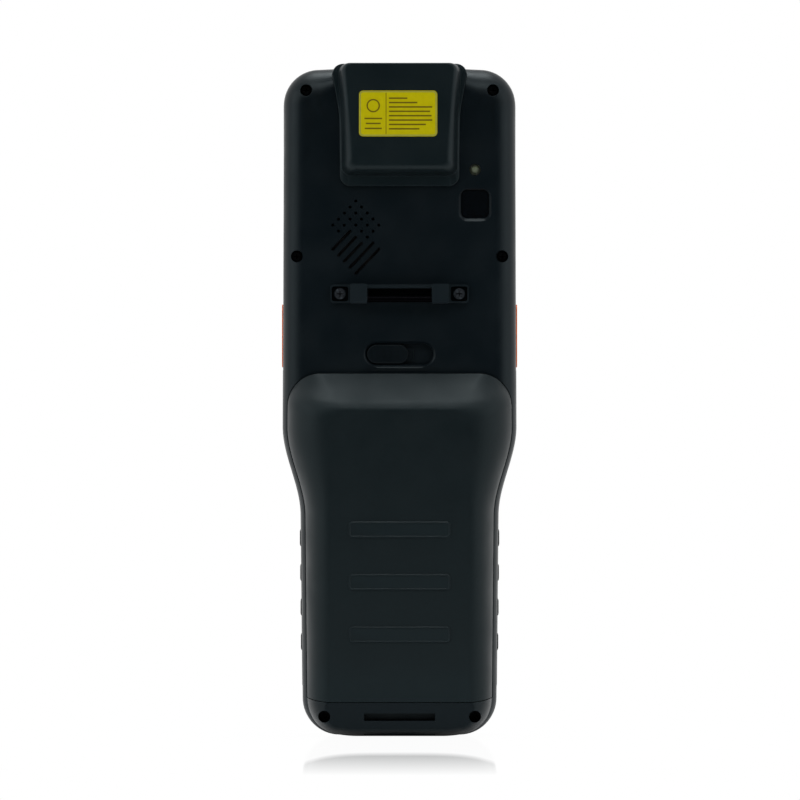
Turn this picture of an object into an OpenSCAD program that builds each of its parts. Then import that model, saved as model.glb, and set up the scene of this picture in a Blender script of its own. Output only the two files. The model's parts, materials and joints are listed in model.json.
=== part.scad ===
// Portable barcode data terminal, standing upright on its foot.
// X runs across the back as it is seen, +Y out of the display and keypad, +Z up to the scan head.
// All sizes in millimetres.

/* [Casing] */
// Height of the scan head's top face above the base
total_len = 190; // [186:0.5:196]
// Depth from the bumper's front to the deepest point of the battery cover
total_depth = 36.5; // [35:0.1:39]
// Depth of the head, from the bumper's front to the head's back plane
head_t = 25; // [24:0.1:27]
// Width of the head at its top corners
head_w = 65.5; // [64:0.1:68]
// What each side of the head gains from the top corners to the waist
head_flare = 0.3; // [0:0.05:1]
// Width of the grip just below the waist
grip_w = 55.9; // [54:0.1:58]
// What each side of the grip loses from the waist to the foot
grip_taper = 0.5; // [0:0.05:1.5]
// Distance of the waist's start below the cover's top edge
waist_d = 15.1; // [14:0.1:16]
// Length of the waist from the head to the grip
waist_len = 25; // [22:0.5:28]
// How far the head's crown lies below the scan head's top face
crown_drop = 0.8; // [0.4:0.1:2]
// Rise of the crown between the top corners
crown_h = 0.6; // [0:0.1:1.2]
// Radius of the top corners
top_r = 10; // [8:0.1:12]
// Radius of the foot's corners
foot_r = 10.5; // [8:0.1:12]
// Rise of the foot's edge from the flat base to the corners
foot_rise = 0.4; // [0:0.1:1]
// Half width of the flat base
foot_flat = 12; // [9:0.5:15]
// Distance of the parting plane behind the bumper's front
part_d = 11; // [10:0.1:12]
// Radius of the rear shell's back edge
back_r = 6; // [5:0.1:6.5]
// Radius of the front shell's front edge
front_r = 2.5; // [1.5:0.1:2.8]
// Wall of both shells
wall = 2; // [1.6:0.1:2.2]
// Height of the bumper's lip before the front face
bumper_lip = 1.6; // [1:0.1:2]
// Gap between fixed pieces that sit in each other
seat_gap = 0.05; // [0.03:0.01:0.1]

/* [Screws] */
// Distance of the top screws from the casing's side and from its top
screw_top_in = [6.35, 7.4];
// Distance of the middle screws from the casing's side and from its top
screw_mid_in = [3.75, 54.3];
// Distance of the foot screws from the grip's side and from the base
screw_foot_in = [6.75, 6.1];
// Radius of a screw's head
screw_head_r = 1.5; // [1.3:0.05:1.7]
// Radius of a screw's shank
screw_r = 0.95; // [0.8:0.05:1.1]
// Length of a screw's shank
screw_len = 15; // [13:0.5:17]
// Room round a screw head in its counterbore
screw_room = 0.2; // [0.1:0.05:0.4]
// Depth of the counterbores in the head
screw_sunk = 3.4; // [2.5:0.1:4]
// Radius of a screw boss
boss_r = 2.9; // [2.6:0.1:3]

/* [Battery cover] */
// Width of the casing's rim beside the cover
rim = 1.35; // [1.1:0.05:1.6]
// Distance of the cover's top edge below the latch's middle
cover_d = 5.5; // [5:0.1:6.5]
// Radius of the cover's top corners
cover_r = 9.3; // [7:0.1:11]
// Wall of the cover
cover_wall = 1.6; // [1.2:0.1:1.8]
// Distance of the cover's lit edge before the head's back plane
cover_seat = 2.15; // [1.8:0.05:2.4]
// How far the cover's edge sinks below that
cover_sink = 0.6; // [0.4:0.05:0.9]
// Gap round the cover
cover_gap = 0.2; // [0.15:0.01:0.3]
// How much shallower the cover is at the foot than at its top
cover_taper = 3.65; // [2:0.05:4.5]
// Height of the seam between cover and foot
seam_z = 10; // [9:0.1:11]
// Half width of the seam's straight part
seam_flat = 18.7; // [16:0.1:20]
// Rise of the seam at the cover's sides
seam_rise = 1.1; // [0:0.1:1.5]
// Width of the cover's flat back
plat_w = 39; // [36:0.5:42]
// Distance of the flat back's top below the cover's top edge
plat_d = 10.6; // [9:0.1:12]
// Radius of the flat back's top corners
plat_r = 5; // [3:0.1:7]
// Number of raised grip bars
bar_n = 3; // [2:1:4]
// Width of a grip bar
bar_w = 28.8; // [24:0.1:32]
// Height of a grip bar
bar_h = 4.7; // [3:0.1:6]
// Height of a grip bar above the flat back
bar_t = 0.45; // [0.3:0.05:0.8]
// Spacing of the grip bars
bar_pitch = 14.75; // [10:0.05:16]
// Height of the lowest grip bar's middle
bar_z = 29.25; // [20:0.25:34]
// Width of a hinge tab
tab_w = 4.5; // [3:0.1:5.5]
// Half spacing of the hinge tabs
tab_x = 14.3; // [13:0.1:15.5]
// Reach of a hinge tab below the seam
tab_len = 2.4; // [1.5:0.1:2.6]
// Thickness of a hinge tab
tab_t = 1.6; // [1.2:0.1:2]

/* [Battery] */
// Width of the battery pack
bat_w = 42; // [38:0.5:43]
// Distance of the battery pack's upper end below the cover's top edge
bat_top_d = 11.6; // [11:0.1:14]
// Thickness of the battery pack
bat_t = 12; // [9:0.1:12.2]
// Height of the battery pack's lower end
bat_z = 17; // [15:0.5:19]
// Gap round the battery pack
bat_gap = 0.4; // [0.25:0.05:0.6]
// Thickness of the bay's floor
floor_t = 1.6; // [1.2:0.1:2]
// Distance of the bay's floor before the head's back plane
bay_d = 6.95; // [6.5:0.05:7.5]
// Height of the step, where the bay block ends, above the latch's middle
step_up = 5.9; // [5.5:0.1:8]

/* [Latch] */
// Distance of the latch's middle below the strap bracket's
latch_d_z = 17; // [16:0.1:18]
// Width of the latch recess
latch_w = 19; // [17:0.1:21]
// Height of the latch recess
latch_h = 6; // [5:0.1:6.6]
// Depth of the latch recess
latch_d = 2.2; // [1.6:0.1:2.4]
// Width of the latch slider
slider_w = 11.7; // [10:0.1:12.5]
// Gap round the latch slider
slider_gap = 0.3; // [0.2:0.05:0.4]
// Travel of the latch slider
latch_travel = 5; // [4:0.1:5.5]

// Width and height of the moulded mark beside the latch
mark = [2.3, 0.6];
// Distance of that mark from the latch's middle
mark_x = 13.55; // [13.2:0.05:14.5]

/* [Scan head] */
// Half width of the scan housing at its top
scan_hw = 19.0; // [18:0.1:20]
// Half width of the scan housing's lower part
scan_low_hw = 17.0; // [16:0.1:18]
// Distance below the top where the lower width is reached
scan_neck_d = 14; // [10:0.5:18]
// Height of the scan housing
scan_h = 34.5; // [32:0.1:37]
// Radius of the scan housing's lower corners
scan_low_r = 3; // [2.6:0.1:4]
// Radius of the scan housing's top corners
scan_top_r = 3; // [2:0.1:4]
// Height of the scan housing's back above the head's back plane
scan_out = 7; // [5:0.1:8]
// Thickness of the flange round the scan housing's foot
scan_flange_t = 1.2; // [0.8:0.1:1.6]
// Insets of the slope's foot: the side at the top, at the neck, low down, and the lower edge
scan_foot_in = [1.6, 0.45, 0.4, 2.75];
// Insets of the flat back, in the same order
scan_flat_in = [3.9, 2.9, 3.75, 5.8];
// Wall of the scan housing
scan_wall = 1.6; // [1.4:0.1:2]
// How far the scan housing reaches before the head's back plane at the top
scan_in = 12.5; // [11:0.1:13]
// Width of the scan window
window_w = 24; // [20:0.5:26]
// Depth of the scan window, front to back
window_d = 12; // [10:0.5:12.5]
// Thickness of the scan window
window_t = 1.1; // [0.8:0.1:1.4]
// Width of the yellow label
label_w = 22; // [20:0.1:24]
// Height of the yellow label
label_h = 12.9; // [11:0.1:14]
// Distance of the label's middle below the top
label_d = 14.3; // [13:0.1:16]
// Sideways offset of the label
label_x = -0.4; // [-1:0.1:1]

/* [Camera, flash and speaker] */
// Distance of the camera window's middle from the casing's side
cam_in = 11.45; // [10.5:0.05:12.5]
// Distance of the camera window's middle below the top
cam_d = 39.5; // [38:0.1:42]
// Side of the camera window
cam_w = 7.9; // [7:0.1:8.5]
// Corner radius of the camera window
cam_r = 1.7; // [1:0.1:2]
// Side of the bevel round the camera window
cam_bevel_w = 10.4; // [9.5:0.1:11.5]
// Depth of that bevel
cam_bevel_d = 0.9; // [0.6:0.1:1]
// Distance of the flash below the top
flash_d = 29.9; // [28:0.1:32]
// Radius of the flash lens
flash_r = 1.6; // [1.3:0.05:2]
// Distance of the speaker's middle from the casing's side
speaker_in = 20.4; // [19.5:0.05:21.5]
// Height of the speaker's middle above the strap bracket's
speaker_up = 16; // [15.2:0.1:17]
// Radius of the speaker
speaker_r = 10.2; // [9.5:0.1:10.6]
// Step of the slanted grille lattice, across and down
grille_step = [1.626, 1.70];
// Radius of a grille hole
grille_r = 0.43; // [0.35:0.01:0.5]

/* [Strap anchors] */
// Distance of the bracket's middle below the top
bracket_d = 64.9; // [63:0.1:67]
// Full width of the bracket
bracket_w = 39; // [37:0.1:41]
// Height of the bracket's ears
bracket_h = 5.1; // [4.5:0.1:6]
// Clear width between the bracket's posts
strap_w = 18.2; // [16:0.1:20]
// Width of a bracket post
post_w = 4.8; // [4:0.1:5.5]
// Reach of the posts behind the back plane
post_out = 4.4; // [3.5:0.1:5.5]
// Depth of the pocket behind the pin
pocket_d = 1.1; // [0.5:0.1:1.2]
// Thickness of the ears
ear_t = 1.4; // [1:0.1:1.8]
// Half spacing of the bracket's screws
bracket_screw_x = 16.8; // [16.2:0.05:17.2]
// Radius of the strap pin
pin_r = 0.9; // [0.7:0.05:1.1]
// Width of the strap slot in the foot
slot_w = 20; // [18:0.1:22]
// Height of the strap slot in the foot
slot_h = 2.1; // [1.8:0.1:2.6]
// Height of the strap slot's middle
slot_z = 6; // [5.6:0.1:6.2]

/* [Display] */
// Distance of the display glass from the head's sides
lens_in = 4; // [3.6:0.1:5]
// Distance of the display glass's upper edge below the top
lens_top_d = 15; // [14:0.5:18]
// Height of the display glass's lower edge
lens_bot = 95; // [93:0.5:98]
// Thickness of the display glass
lens_t = 1.1; // [0.8:0.1:1.2]
// Width of the border beside the picture area
border = 3.55; // [3.4:0.05:5]
// Mean height of the borders above and below the picture area
border_v = 4.25; // [3.5:0.05:6]
// Thickness of the display panel
panel_t = 3; // [2:0.1:3.2]

/* [Keypad] */
// Travel of a key
key_travel = 0.5; // [0.3:0.05:0.6]
// Gap round a key
key_gap = 0.25; // [0.2:0.01:0.3]
// Height of a key above the front face
key_out = 1.4; // [1:0.1:1.5]
// Thickness of the front face
face_t = 2; // [1.6:0.1:2.2]
// Width and height of a number key
num_key = [11, 6.4];
// Spacing of the number keys, across and up
num_pitch = [14.2, 9];
// Height of the lowest row of number keys
num_z = 18.5; // [17.5:0.25:19.5]
// Width and height of a side function key
fun_key = [8.5, 6.6];
// Half spacing of the function keys
fun_x = 18.2; // [17.8:0.1:18.4]
// Heights of the two function key rows
fun_z = [69, 82.5];
// Width and height of the scan key
scan_key = [23, 7.6];
// Height of the scan key's middle
scan_key_z = 56.8; // [56:0.1:57.2]
// Height of the navigation keys' middle
nav_z = 76; // [75.5:0.25:77]
// Outer radius of the navigation ring
nav_r = 11.2; // [10.5:0.1:11.5]
// Radius of the centre key
ok_r = 4.6; // [4:0.1:5]
// Gap between two navigation keys
nav_gap = 0.7; // [0.5:0.05:1]

/* [Side keys, port and dock] */
// Length of a side key
skey_len = 17.8; // [16:0.1:19]
// Width of a side key
skey_w = 5; // [4.4:0.1:5.4]
// Height of the side keys' middle above the latch's
skey_up = 5.2; // [4.5:0.1:6.4]
// How far a side key stands out of the casing
skey_out = 0.35; // [0.2:0.05:0.6]
// Travel of a side key
skey_travel = 0.5; // [0.3:0.05:0.6]
// Distance of the side features behind the parting plane
side_d = 4; // [3.9:0.05:4.3]
// Length of the port flap
port_len = 15; // [13:0.1:17]
// Width of the port flap
port_w = 6; // [5.4:0.1:6.2]
// Thickness of the port flap
port_t = 1.5; // [1.2:0.1:1.6]
// Distance of the port flap's middle below the top
port_d = 38; // [36:0.5:39]
// Width of the dock's contact block
dock_w = 16; // [12:0.5:20]
// Depth of the dock's contact block, front to back
dock_d = 4.4; // [4:0.1:4.8]

/* [Boards and engine] */
// Distance of the main board's ends below the waist and below the top
board_ends = [4.5, 16];
// Height of the keypad board's lower edge
board_foot = 11; // [10.5:0.5:14]
// Width and height of the shield can
shield = [30, 36];
// Width and height of the modem chip
chip = [22, 20];
// Width, depth and height of the scan engine
engine = [21, 11, 14];
// Radius of the engine's two lenses
engine_r = 2.6; // [2:0.1:2.8]

/* [Rubber trim] */
// Height of the bumper's legs, from their ends to the top
bumper_h = 24.2; // [20:0.1:30]
// How far the rubber stands out of the casing
rubber_out = 0.2; // [0.1:0.05:0.4]
// Lower end of the side grips
grip_bot = 14; // [13.5:0.5:18]
// Rise of the side grips above the cover's top edge
grip_up = 1; // [0:0.1:2]
// Number of ribs on a side grip
rib_n = 4; // [3:1:6]
// Spacing of the ribs
rib_pitch = 9.85; // [8:0.05:10.5]
// Height of a rib
rib_h = 4.9; // [3:0.1:6]
// Height of the lowest rib's middle
rib_z = 26.4; // [24:0.1:28]
// How far a rib stands out of its grip
rib_out = 0.3; // [0.2:0.05:0.5]

/* [Hidden] */
$fn = 40;

// Depth planes, front to back
front_y = total_depth / 2;
face_y = front_y - bumper_lip;
part_y = front_y - part_d;
back_y = front_y - head_t;
seat_y = back_y + cover_seat;
land_y = seat_y + cover_sink + cover_gap;
cover_b = seat_y + total_depth / 2;
foot_b = cover_b - cover_taper;
foot_y = seat_y - foot_b;
bay_y = back_y + bay_d;
cell_y = bay_y + floor_t;
inner_y = face_y - face_t;
scan_y = back_y - scan_out;
// Heights
crown_z = total_len - crown_drop;
bracket_z = total_len - bracket_d;
latch_z = bracket_z - latch_d_z;
step_z = latch_z + step_up;
skey_z = latch_z + skey_up;
cover_top = latch_z - cover_d;
plat_top = cover_top - plat_d;
waist_top = cover_top - waist_d;
waist_bot = waist_top - waist_len;
grip_top = cover_top + grip_up;
bat_len = cover_top - bat_top_d - bat_z;
bay_top = bat_z + bat_len + bat_gap;
scan_neck_z = total_len - scan_neck_d;
scan_bot = total_len - scan_h;
bumper_z = total_len - bumper_h;
port_z = total_len - port_d;
// Places of the small features in the head
cam_x = head_w / 2 - cam_in;
cam_z = total_len - cam_d;
flash_z = total_len - flash_d;
speaker_x = speaker_in - head_w / 2;
speaker_z = bracket_z + speaker_up;
screws = [[head_w / 2 - screw_top_in[0], total_len - screw_top_in[1]],
    [head_w / 2 - screw_mid_in[0], total_len - screw_mid_in[1]],
    [grip_w / 2 - screw_foot_in[0], screw_foot_in[1]]];
// Display
lens_w = head_w - 2 * lens_in;
lens_h = total_len - lens_top_d - lens_bot;
lens_z = lens_bot + lens_h / 2;
view_w = lens_w - 2 * border;
view_h = lens_h - 2 * border_v;
view_z = lens_z + 1.5;
// Angle of the back edge where the cover's lit edge starts
seat_a = asin(1 - cover_seat / back_r);
seat_in = back_r * (1 - cos(seat_a));
// Boards
board_t = 1.2;
board_y = part_y - 1.2;
pad_y = inner_y - 5.4;
board_in = wall + 1.3 + skey_travel;
// The cover's top slope: its lip, its lean, and how much of it is straight
top_lip = 0.2;
top_lean = 0.86;
top_flat = 0.78;

// ---------- outlines: the right half from the top centre down, then its mirror ----------
function smooth(t) = t * t * (3 - 2 * t);
function ring(h) = concat(h, [for (i = [len(h) - 1:-1:0]) [-h[i][0], h[i][1]]]);
function hw(z) = z >= waist_top
    ? head_w / 2 + head_flare * (crown_z - top_r - z) / (crown_z - top_r - waist_top)
    : z >= waist_bot
    ? grip_w / 2 + (head_w / 2 + head_flare - grip_w / 2) * waist_share(z)
    : grip_w / 2 - grip_taper * (waist_bot - z) / (waist_bot - foot_r);
function waist_share(z) = smooth((z - waist_bot) / (waist_top - waist_bot));
function casing_half(arcs = 6, waists = 9) = concat(
    [for (i = [1:3]) let (x = (head_w / 2 - top_r) * (2 * i - 1) / 6)
        [x, crown_z - crown_h * pow(x / (head_w / 2 - top_r), 2)]],
    [for (i = [0:arcs]) let (a = 90 - 90 * i / arcs)
        [head_w / 2 - top_r + top_r * cos(a), crown_z - crown_h - top_r + top_r * sin(a)]],
    [for (i = [0:waists]) let (z = waist_top - (waist_top - waist_bot) * i / waists) [hw(z), z]],
    [for (i = [1:4]) let (z = waist_bot - (waist_bot - foot_r - foot_rise) * i / 5) [hw(z), z]],
    [for (i = [0:arcs]) let (a = -90 * i / arcs)
        [hw(foot_r) - foot_r + foot_r * cos(a), foot_r + foot_rise + foot_r * sin(a)]],
    [[foot_flat, 0]]);
// Outward normal at point i of a closed outline
function nrm(p, i) = let (n = len(p), a = p[(i + n - 1) % n], b = p[(i + 1) % n])
    [a[1] - b[1], b[0] - a[0]] / norm(b - a);
function inset(p, d) = [for (i = [0:len(p) - 1]) p[i] - d * nrm(p, i)];
function at_y(p, y) = [for (q = p) [q[0], y, q[1]]];

// ---------- solids from rings ----------
// Rings of n points, clockwise as seen from -Y, stacked towards -Y; flip for +Y
function loft_faces(n, m, flip) = [
    for (f = concat(
        [for (k = [0:m - 2]) for (i = [0:n - 1]) let (a = k * n + i, b = k * n + (i + 1) % n) [a, b,
            b + n]],
        [for (k = [0:m - 2]) for (i = [0:n - 1]) let (a = k * n + i, b = k * n + (i + 1) % n) [a,
            b + n, a + n]],
        [for (i = [0:n / 2 - 2]) [n - 1 - i, n - 2 - i, i + 1]],
        [for (i = [0:n / 2 - 2]) [n - 1 - i, i + 1, i]],
        [for (i = [0:n / 2 - 2]) let (s = (m - 1) * n) [s + i, s + i + 1, s + n - 2 - i]],
        [for (i = [0:n / 2 - 2]) let (s = (m - 1) * n) [s + i, s + n - 2 - i, s + n - 1 - i]]))
    flip ? [f[2], f[1], f[0]] : f];
module loft(rings, flip = false) {
    n = len(rings[0]);
    polyhedron([for (r = rings) each r], loft_faces(n, len(rings), flip), convexity = 6);
}
// Flat shapes pushed along Y, X or Z
module along_y(y0, y1) {
    translate([0, y1, 0]) rotate([90, 0, 0]) linear_extrude(y1 - y0) children();
}
module along_x(x0, x1) {
    translate([x0, 0, 0]) rotate([90, 0, 90]) linear_extrude(x1 - x0) children();
}
module rrect(w, h, r) {
    square([w - 2 * r, h], center = true);
    square([w, h - 2 * r], center = true);
    for (x = [-1, 1], y = [-1, 1]) translate([x * (w / 2 - r), y * (h / 2 - r)]) circle(r);
}
module slab(w, h, r, y0, y1, x = 0, z = 0) {
    along_y(y0, y1) translate([x, z]) rrect(w, h, r);
}
module rod_y(r, y0, y1, x = 0, z = 0) {
    translate([x, y1, z]) rotate([90, 0, 0]) cylinder(h = y1 - y0, r = r);
}
module rod_x(r, x0, x1, y = 0, z = 0) {
    translate([x0, y, z]) rotate([0, 90, 0]) cylinder(h = x1 - x0, r = r);
}
module block(x0, x1, y0, y1, z0, z1) {
    translate([x0, y0, z0]) cube([x1 - x0, y1 - y0, z1 - z0]);
}
module pair() {
    children();
    mirror([1, 0, 0]) children();
}

// ---------- casing ----------
casing = ring(casing_half());
n_case = len(casing);
// Back edge of the rear shell: round in the head, deep and wide at the foot
deep_in = hw(foot_r) - plat_w / 2 - seat_in;
function case_ring(k) = [for (i = [0:n_case - 1]) let (
    n = nrm(casing, i), deep = casing[i][1] < waist_bot - 20,
    a = k == 0 ? 0 : k < 4 ? seat_a * (k - 1) / 2 : seat_a + (90 - seat_a) * (k - 3) / 4,
    e = 90 * (k - 3) / 4,
    low = 1 - 0.66 * pow(min(n[1], 0), 2),
    d = k > 3 && deep ? (seat_in + deep_in * (1 - cos(e))) * low : back_r * (1 - cos(a)),
    y = k == 0 ? part_y : k > 3 && deep ? seat_y - foot_b * sin(e) : back_y + back_r * (1 - sin(a)),
    q = casing[i] - d * n) [q[0], y, q[1]]];
module casing_solid() {
    loft([for (k = [0:7]) case_ring(k)]);
}
// The head's form at depth w inside its outer face
module inner_form(w) {
    r = back_r - w;
    loft(concat([at_y(inset(casing, w), part_y + 1)],
        [for (a = [0, 45, 90]) at_y(inset(casing, w + r * (1 - cos(a))),
            back_y + w + r * (1 - sin(a)))]));
}
module casing_hollow() {
    intersection() {
        inner_form(wall);
        union() {
            block(-head_w, head_w, back_y, part_y + 2, step_z, total_len);
            block(-head_w, head_w, cell_y, part_y + 2, -1, step_z + 1);
        }
    }
}
// Where the seat of each screw's head lies
screw_seat = [back_y + screw_sunk, back_y + screw_sunk, part_y + 3.4 - screw_len];
module rear_housing() {
    color([0.10, 0.12, 0.13]) difference() {
        union() {
            difference() {
                casing_solid();
                casing_hollow();
            }
            intersection() {
                inner_form(wall / 2);
                pair() for (i = [0, 1])
                    rod_y(boss_r, back_y + wall / 2 + 0.1, part_y - 0.1, screws[i][0], screws[i][1]);
            }
            pair() {
                rod_y(boss_r, cell_y - 1, part_y - 0.1, screws[2][0], screws[2][1] + 0.9);
                rod_y(boss_r - 0.3, back_y + wall / 2, back_y + wall + 3, bracket_screw_x, bracket_z);
            }
            slab(mark[0], mark[1], 0.2, back_y - 0.15, back_y + 0.1, -mark_x, latch_z);
        }
        pair() for (i = [0:2]) {
            rod_y(screw_head_r + screw_room, foot_y - 5, screw_seat[i], screws[i][0], screws[i][1]);
            rod_y(screw_r + seat_gap, back_y, part_y + 1, screws[i][0], screws[i][1]);
        }
        pair() rod_y(screw_r + seat_gap, back_y - 1, back_y + wall + 2.6, bracket_screw_x, bracket_z);
        cover_rebate();
        battery_bay();
        latch_cuts();
        scan_cuts();
        strap_pocket();
        camera_cuts();
        grille();
        strap_channel();
        side_cuts();
        dock_cuts();
        seal_groove();
    }
}
// Groove in the rear shell for the seal that the front shell presses on
seal_t = 0.7;
module seal_groove() {
    along_y(part_y - seal_t, part_y + 1) seal_ring(0);
}
module seal_ring(g) {
    difference() {
        polygon(inset(casing, 0.75 - g));
        polygon(inset(casing, 1.35 + g));
        translate([-scan_hw - 0.4, scan_bot]) square([2 * scan_hw + 0.8, total_len]);
    }
}
module housing_seal() {
    color([0.25, 0.25, 0.26]) along_y(part_y - seal_t, part_y) seal_ring(-seat_gap);
}

// ---------- battery bay, cover and hinge ----------
function cover_hw(z) = hw(z) - rim;
function cover_half(g, low) = concat(
    [for (i = [0:6]) let (a = 90 - 15 * i, r = cover_r - g)
        [cover_hw(cover_top) - cover_r + r * cos(a), cover_top - cover_r + r * sin(a)]],
    [for (i = [0:9]) let (z = waist_top - (waist_top - waist_bot) * i / 9) [cover_hw(z) - g, z]],
    [for (i = [1:4]) let (z = waist_bot - (waist_bot - seam_z - seam_rise) * i / 4.6)
        [cover_hw(z) - g, z]],
    [for (i = [0:2]) let (t = 1 - i / 3) [seam_flat + (cover_hw(seam_z) - g - seam_flat) * t,
        seam_z + seam_rise * t * t - low]],
    [[seam_flat, seam_z - low]]);
// Height of the cover's lower edge at x
function seam_line(x, g) = seam_z + seam_rise * pow(max(0,
    (abs(x) - seam_flat) / (cover_hw(seam_z) - g - seam_flat)), 2);
function plat_half(g, low) = let (w = plat_w / 2 - 0.7 * g, top = plat_top - 0.7 * g,
    share = (top - plat_r - waist_bot - 1) / (waist_top - waist_bot)) [
    for (i = [0:len(cover_half(g, low)) - 1]) let (q = cover_half(g, low)[i])
    i < 7 ? [w - plat_r + plat_r * cos(90 - 15 * i), top - plat_r + plat_r * sin(90 - 15 * i)]
    : i < 21 ? [w, q[1] > waist_bot ? waist_bot + (q[1] - waist_bot) * share : q[1]]
    : [q[0] * w / (cover_hw(seam_z) - g), q[1]]];
// Depth of the cover's flat back behind its seat at height z
function cover_depth(z) = let (t = min(1, max(0, (z - seam_z) / (plat_top - seam_z))))
    cover_b - cover_taper * (1 - t) * (1 - t);
function cover_slope(z) = let (t = (z - seam_z) / (plat_top - seam_z))
    atan(2 * cover_taper * (1 - t) / (plat_top - seam_z));
// Way in and way out of the cover's surface, each 0 to 1: round at the sides, a chamfer at the top
function side_way(u) = [1 - cos(90 * u), sin(90 * u)];
function top_way(u) = let (v = max(0, 2 * u - 1), m = top_flat * min(1, 2 * u))
    u < 0.5 ? [m * top_lean, m]
    : [pow(1 - v, 2) * m * top_lean + 2 * v * (1 - v) * top_lean + v * v,
        pow(1 - v, 2) * m + 2 * v * (1 - v) + v * v];
module cover_form(g, low, steps) {
    b = ring(cover_half(g, low));
    p = ring(plat_half(g, low));
    n = len(b);
    base = at_y(b, land_y - cover_gap + (g > 0 ? 1 : 0));
    loft(concat([base], [for (k = [0:steps]) [for (i = [0:n - 1]) let (
        up = pow(max(nrm(b, i)[1], 0), 2),
        lip = top_lip * up + 0.02,
        way = side_way(k / steps) * (1 - up) + top_way(k / steps) * up,
        h = lip + (1 - lip) * way[1],
        q = b[i] + (p[i] - b[i]) * way[0],
        z = min(i, n - 1 - i) < 21 ? q[1] : seam_line(q[0], g) - low)
        [q[0], seat_y - (cover_depth(z) - g) * h, z]]]));
}
module battery_cover() {
    color([0.12, 0.15, 0.16]) difference() {
        union() {
            difference() {
                cover_form(0, 0 - cover_gap, 8);
                cover_form(cover_wall, 4, 6);
            }
            for (i = [0:bar_n - 1]) grip_bar(bar_z + i * bar_pitch);
            pair() hinge_tab();
            cover_keeper();
        }
    }
}
module grip_bar(z) {
    translate([0, seat_y - cover_depth(z), z]) rotate([-cover_slope(z), 0, 0])
        slab(bar_w, bar_h, 0.9, -bar_t, cover_wall / 2);
}
module hinge_tab() {
    y = foot_y + cover_wall;
    block(tab_x - tab_w / 2, tab_x + tab_w / 2, y - 0.5, y + tab_t - 0.2, seam_z - tab_len, seam_z + 1.6);
}
// Rib inside the cover's top edge that the latch holds
keeper_w = 9;
keeper_back = 4.6;
keeper_z = cover_top - cover_wall - 0.6;
module cover_keeper() {
    block(-keeper_w / 2, keeper_w / 2, seat_y - keeper_back, land_y + 1.6, keeper_z - 1.4, keeper_z);
}
module cover_rebate() {
    along_y(foot_y - 10, land_y) polygon(ring(cover_half(-cover_gap, 0)));
    // Pockets for the hinge tabs and the keeper
    y = foot_y + cover_wall;
    pair() block(tab_x - tab_w / 2 - cover_gap, tab_x + tab_w / 2 + cover_gap, y - 0.7, y + tab_t + 1.4,
        seam_z - tab_len - 0.3, seam_z + 2);
    block(-keeper_w / 2 - 0.5, keeper_w / 2 + 0.5, land_y - 1, land_y + 2.4, keeper_z - 3,
        cover_top + cover_gap);
}
module battery_bay() {
    block(-bat_w / 2 - bat_gap, bat_w / 2 + bat_gap, back_y - 5, bay_y, bat_z - bat_gap, bay_top);
    contact_block(0.1, 1);
    gasket_ring(-seat_gap, land_y - 1, land_y + 0.3);
}
module gasket_ring(g, y0, y1) {
    z0 = bat_z - bat_gap - 0.7;
    z1 = bay_top + 0.7;
    w = bat_w + 2 * bat_gap + 1.4;
    along_y(y0, y1) translate([0, (z0 + z1) / 2]) difference() {
        rrect(w + 2 - 2 * g, z1 - z0 + 2 - 2 * g, 2);
        rrect(w + 2 * g, z1 - z0 + 2 * g, 1.2);
    }
}
module cover_gasket() {
    color([0.3, 0.3, 0.3]) gasket_ring(0, land_y - 0.6, land_y + 0.3 - seat_gap);
}
module battery_pack() {
    y1 = bay_y - bat_gap;
    color([0.22, 0.22, 0.24]) difference() {
        union() {
            slab(bat_w, bat_len, 1.5, y1 - bat_t + 1, y1, 0, bat_z + bat_len / 2);
            slab(bat_w - 2, bat_len - 2, 1.2, y1 - bat_t, y1 - bat_t + 1.2, 0, bat_z + bat_len / 2);
        }
        for (i = [0:3]) block(contact_x - 4.1 + 2.4 * i, contact_x - 3.1 + 2.4 * i, y1 - 3, y1 - 1,
            bat_z + bat_len - 1, bat_z + bat_len + 1);
    }
}
contact_x = 12;
module contact_block(g, out) {
    block(contact_x - 6 - g, contact_x + 6 + g, bay_y - 3.4 - g, bay_y + g - 0.2, bay_top - 0.2 - out,
        bay_top + 3 + g);
}
module battery_contacts() {
    color([0.7, 0.58, 0.25]) contact_block(0, -0.2);
    color([0.7, 0.58, 0.25]) for (i = [0:3]) block(contact_x - 3.9 + 2.4 * i, contact_x - 3.3 + 2.4 * i,
        bay_y - bat_gap - 2.8, bay_y - bat_gap - 1.2, bay_top - 0.3, bay_top + 0.5);
}

// ---------- latch ----------
slide_x0 = -(latch_w - slider_w) / 2 + slider_gap;
module stadium(w, h, y0, y1, x, z) {
    slab(w, h, h / 2 - 0.01, y0, y1, x, z);
}
stem_w = 4;
module latch_cuts() {
    stadium(latch_w, latch_h, back_y - 1, back_y + latch_d, 0, latch_z);
    slab(stem_w + latch_travel + 2 * slider_gap, 3, 0.4, back_y, cell_y, slide_x0 + latch_travel / 2,
        latch_z);
    // Room for the plate and its tongue, open to the inside
    block(-latch_w / 2 - 2, latch_w / 2 + 2, back_y + latch_d + 1.5, cell_y + 1, latch_z - 3.2,
        latch_z + 3.4);
    block(slide_x0 - 3, slide_x0 + latch_travel + 3, back_y + latch_d + 1.5, land_y + 2.4,
        cover_top - 1, latch_z);
}
module battery_latch() {
    h = latch_h - 2 * slider_gap;
    color([0.09, 0.11, 0.12]) {
        stadium(slider_w, h, back_y + 0.1, back_y + latch_d - 0.15, slide_x0, latch_z);
        for (i = [-2:2]) slab(0.8, h - 1.6, 0.35, back_y - 0.35, back_y + 0.3, slide_x0 + 1.9 * i,
            latch_z);
        block(slide_x0 - stem_w / 2, slide_x0 + stem_w / 2, back_y + latch_d - 0.3,
            back_y + latch_d + 1.7, latch_z - 1.3, latch_z + 1.3);
    }
}
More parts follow.
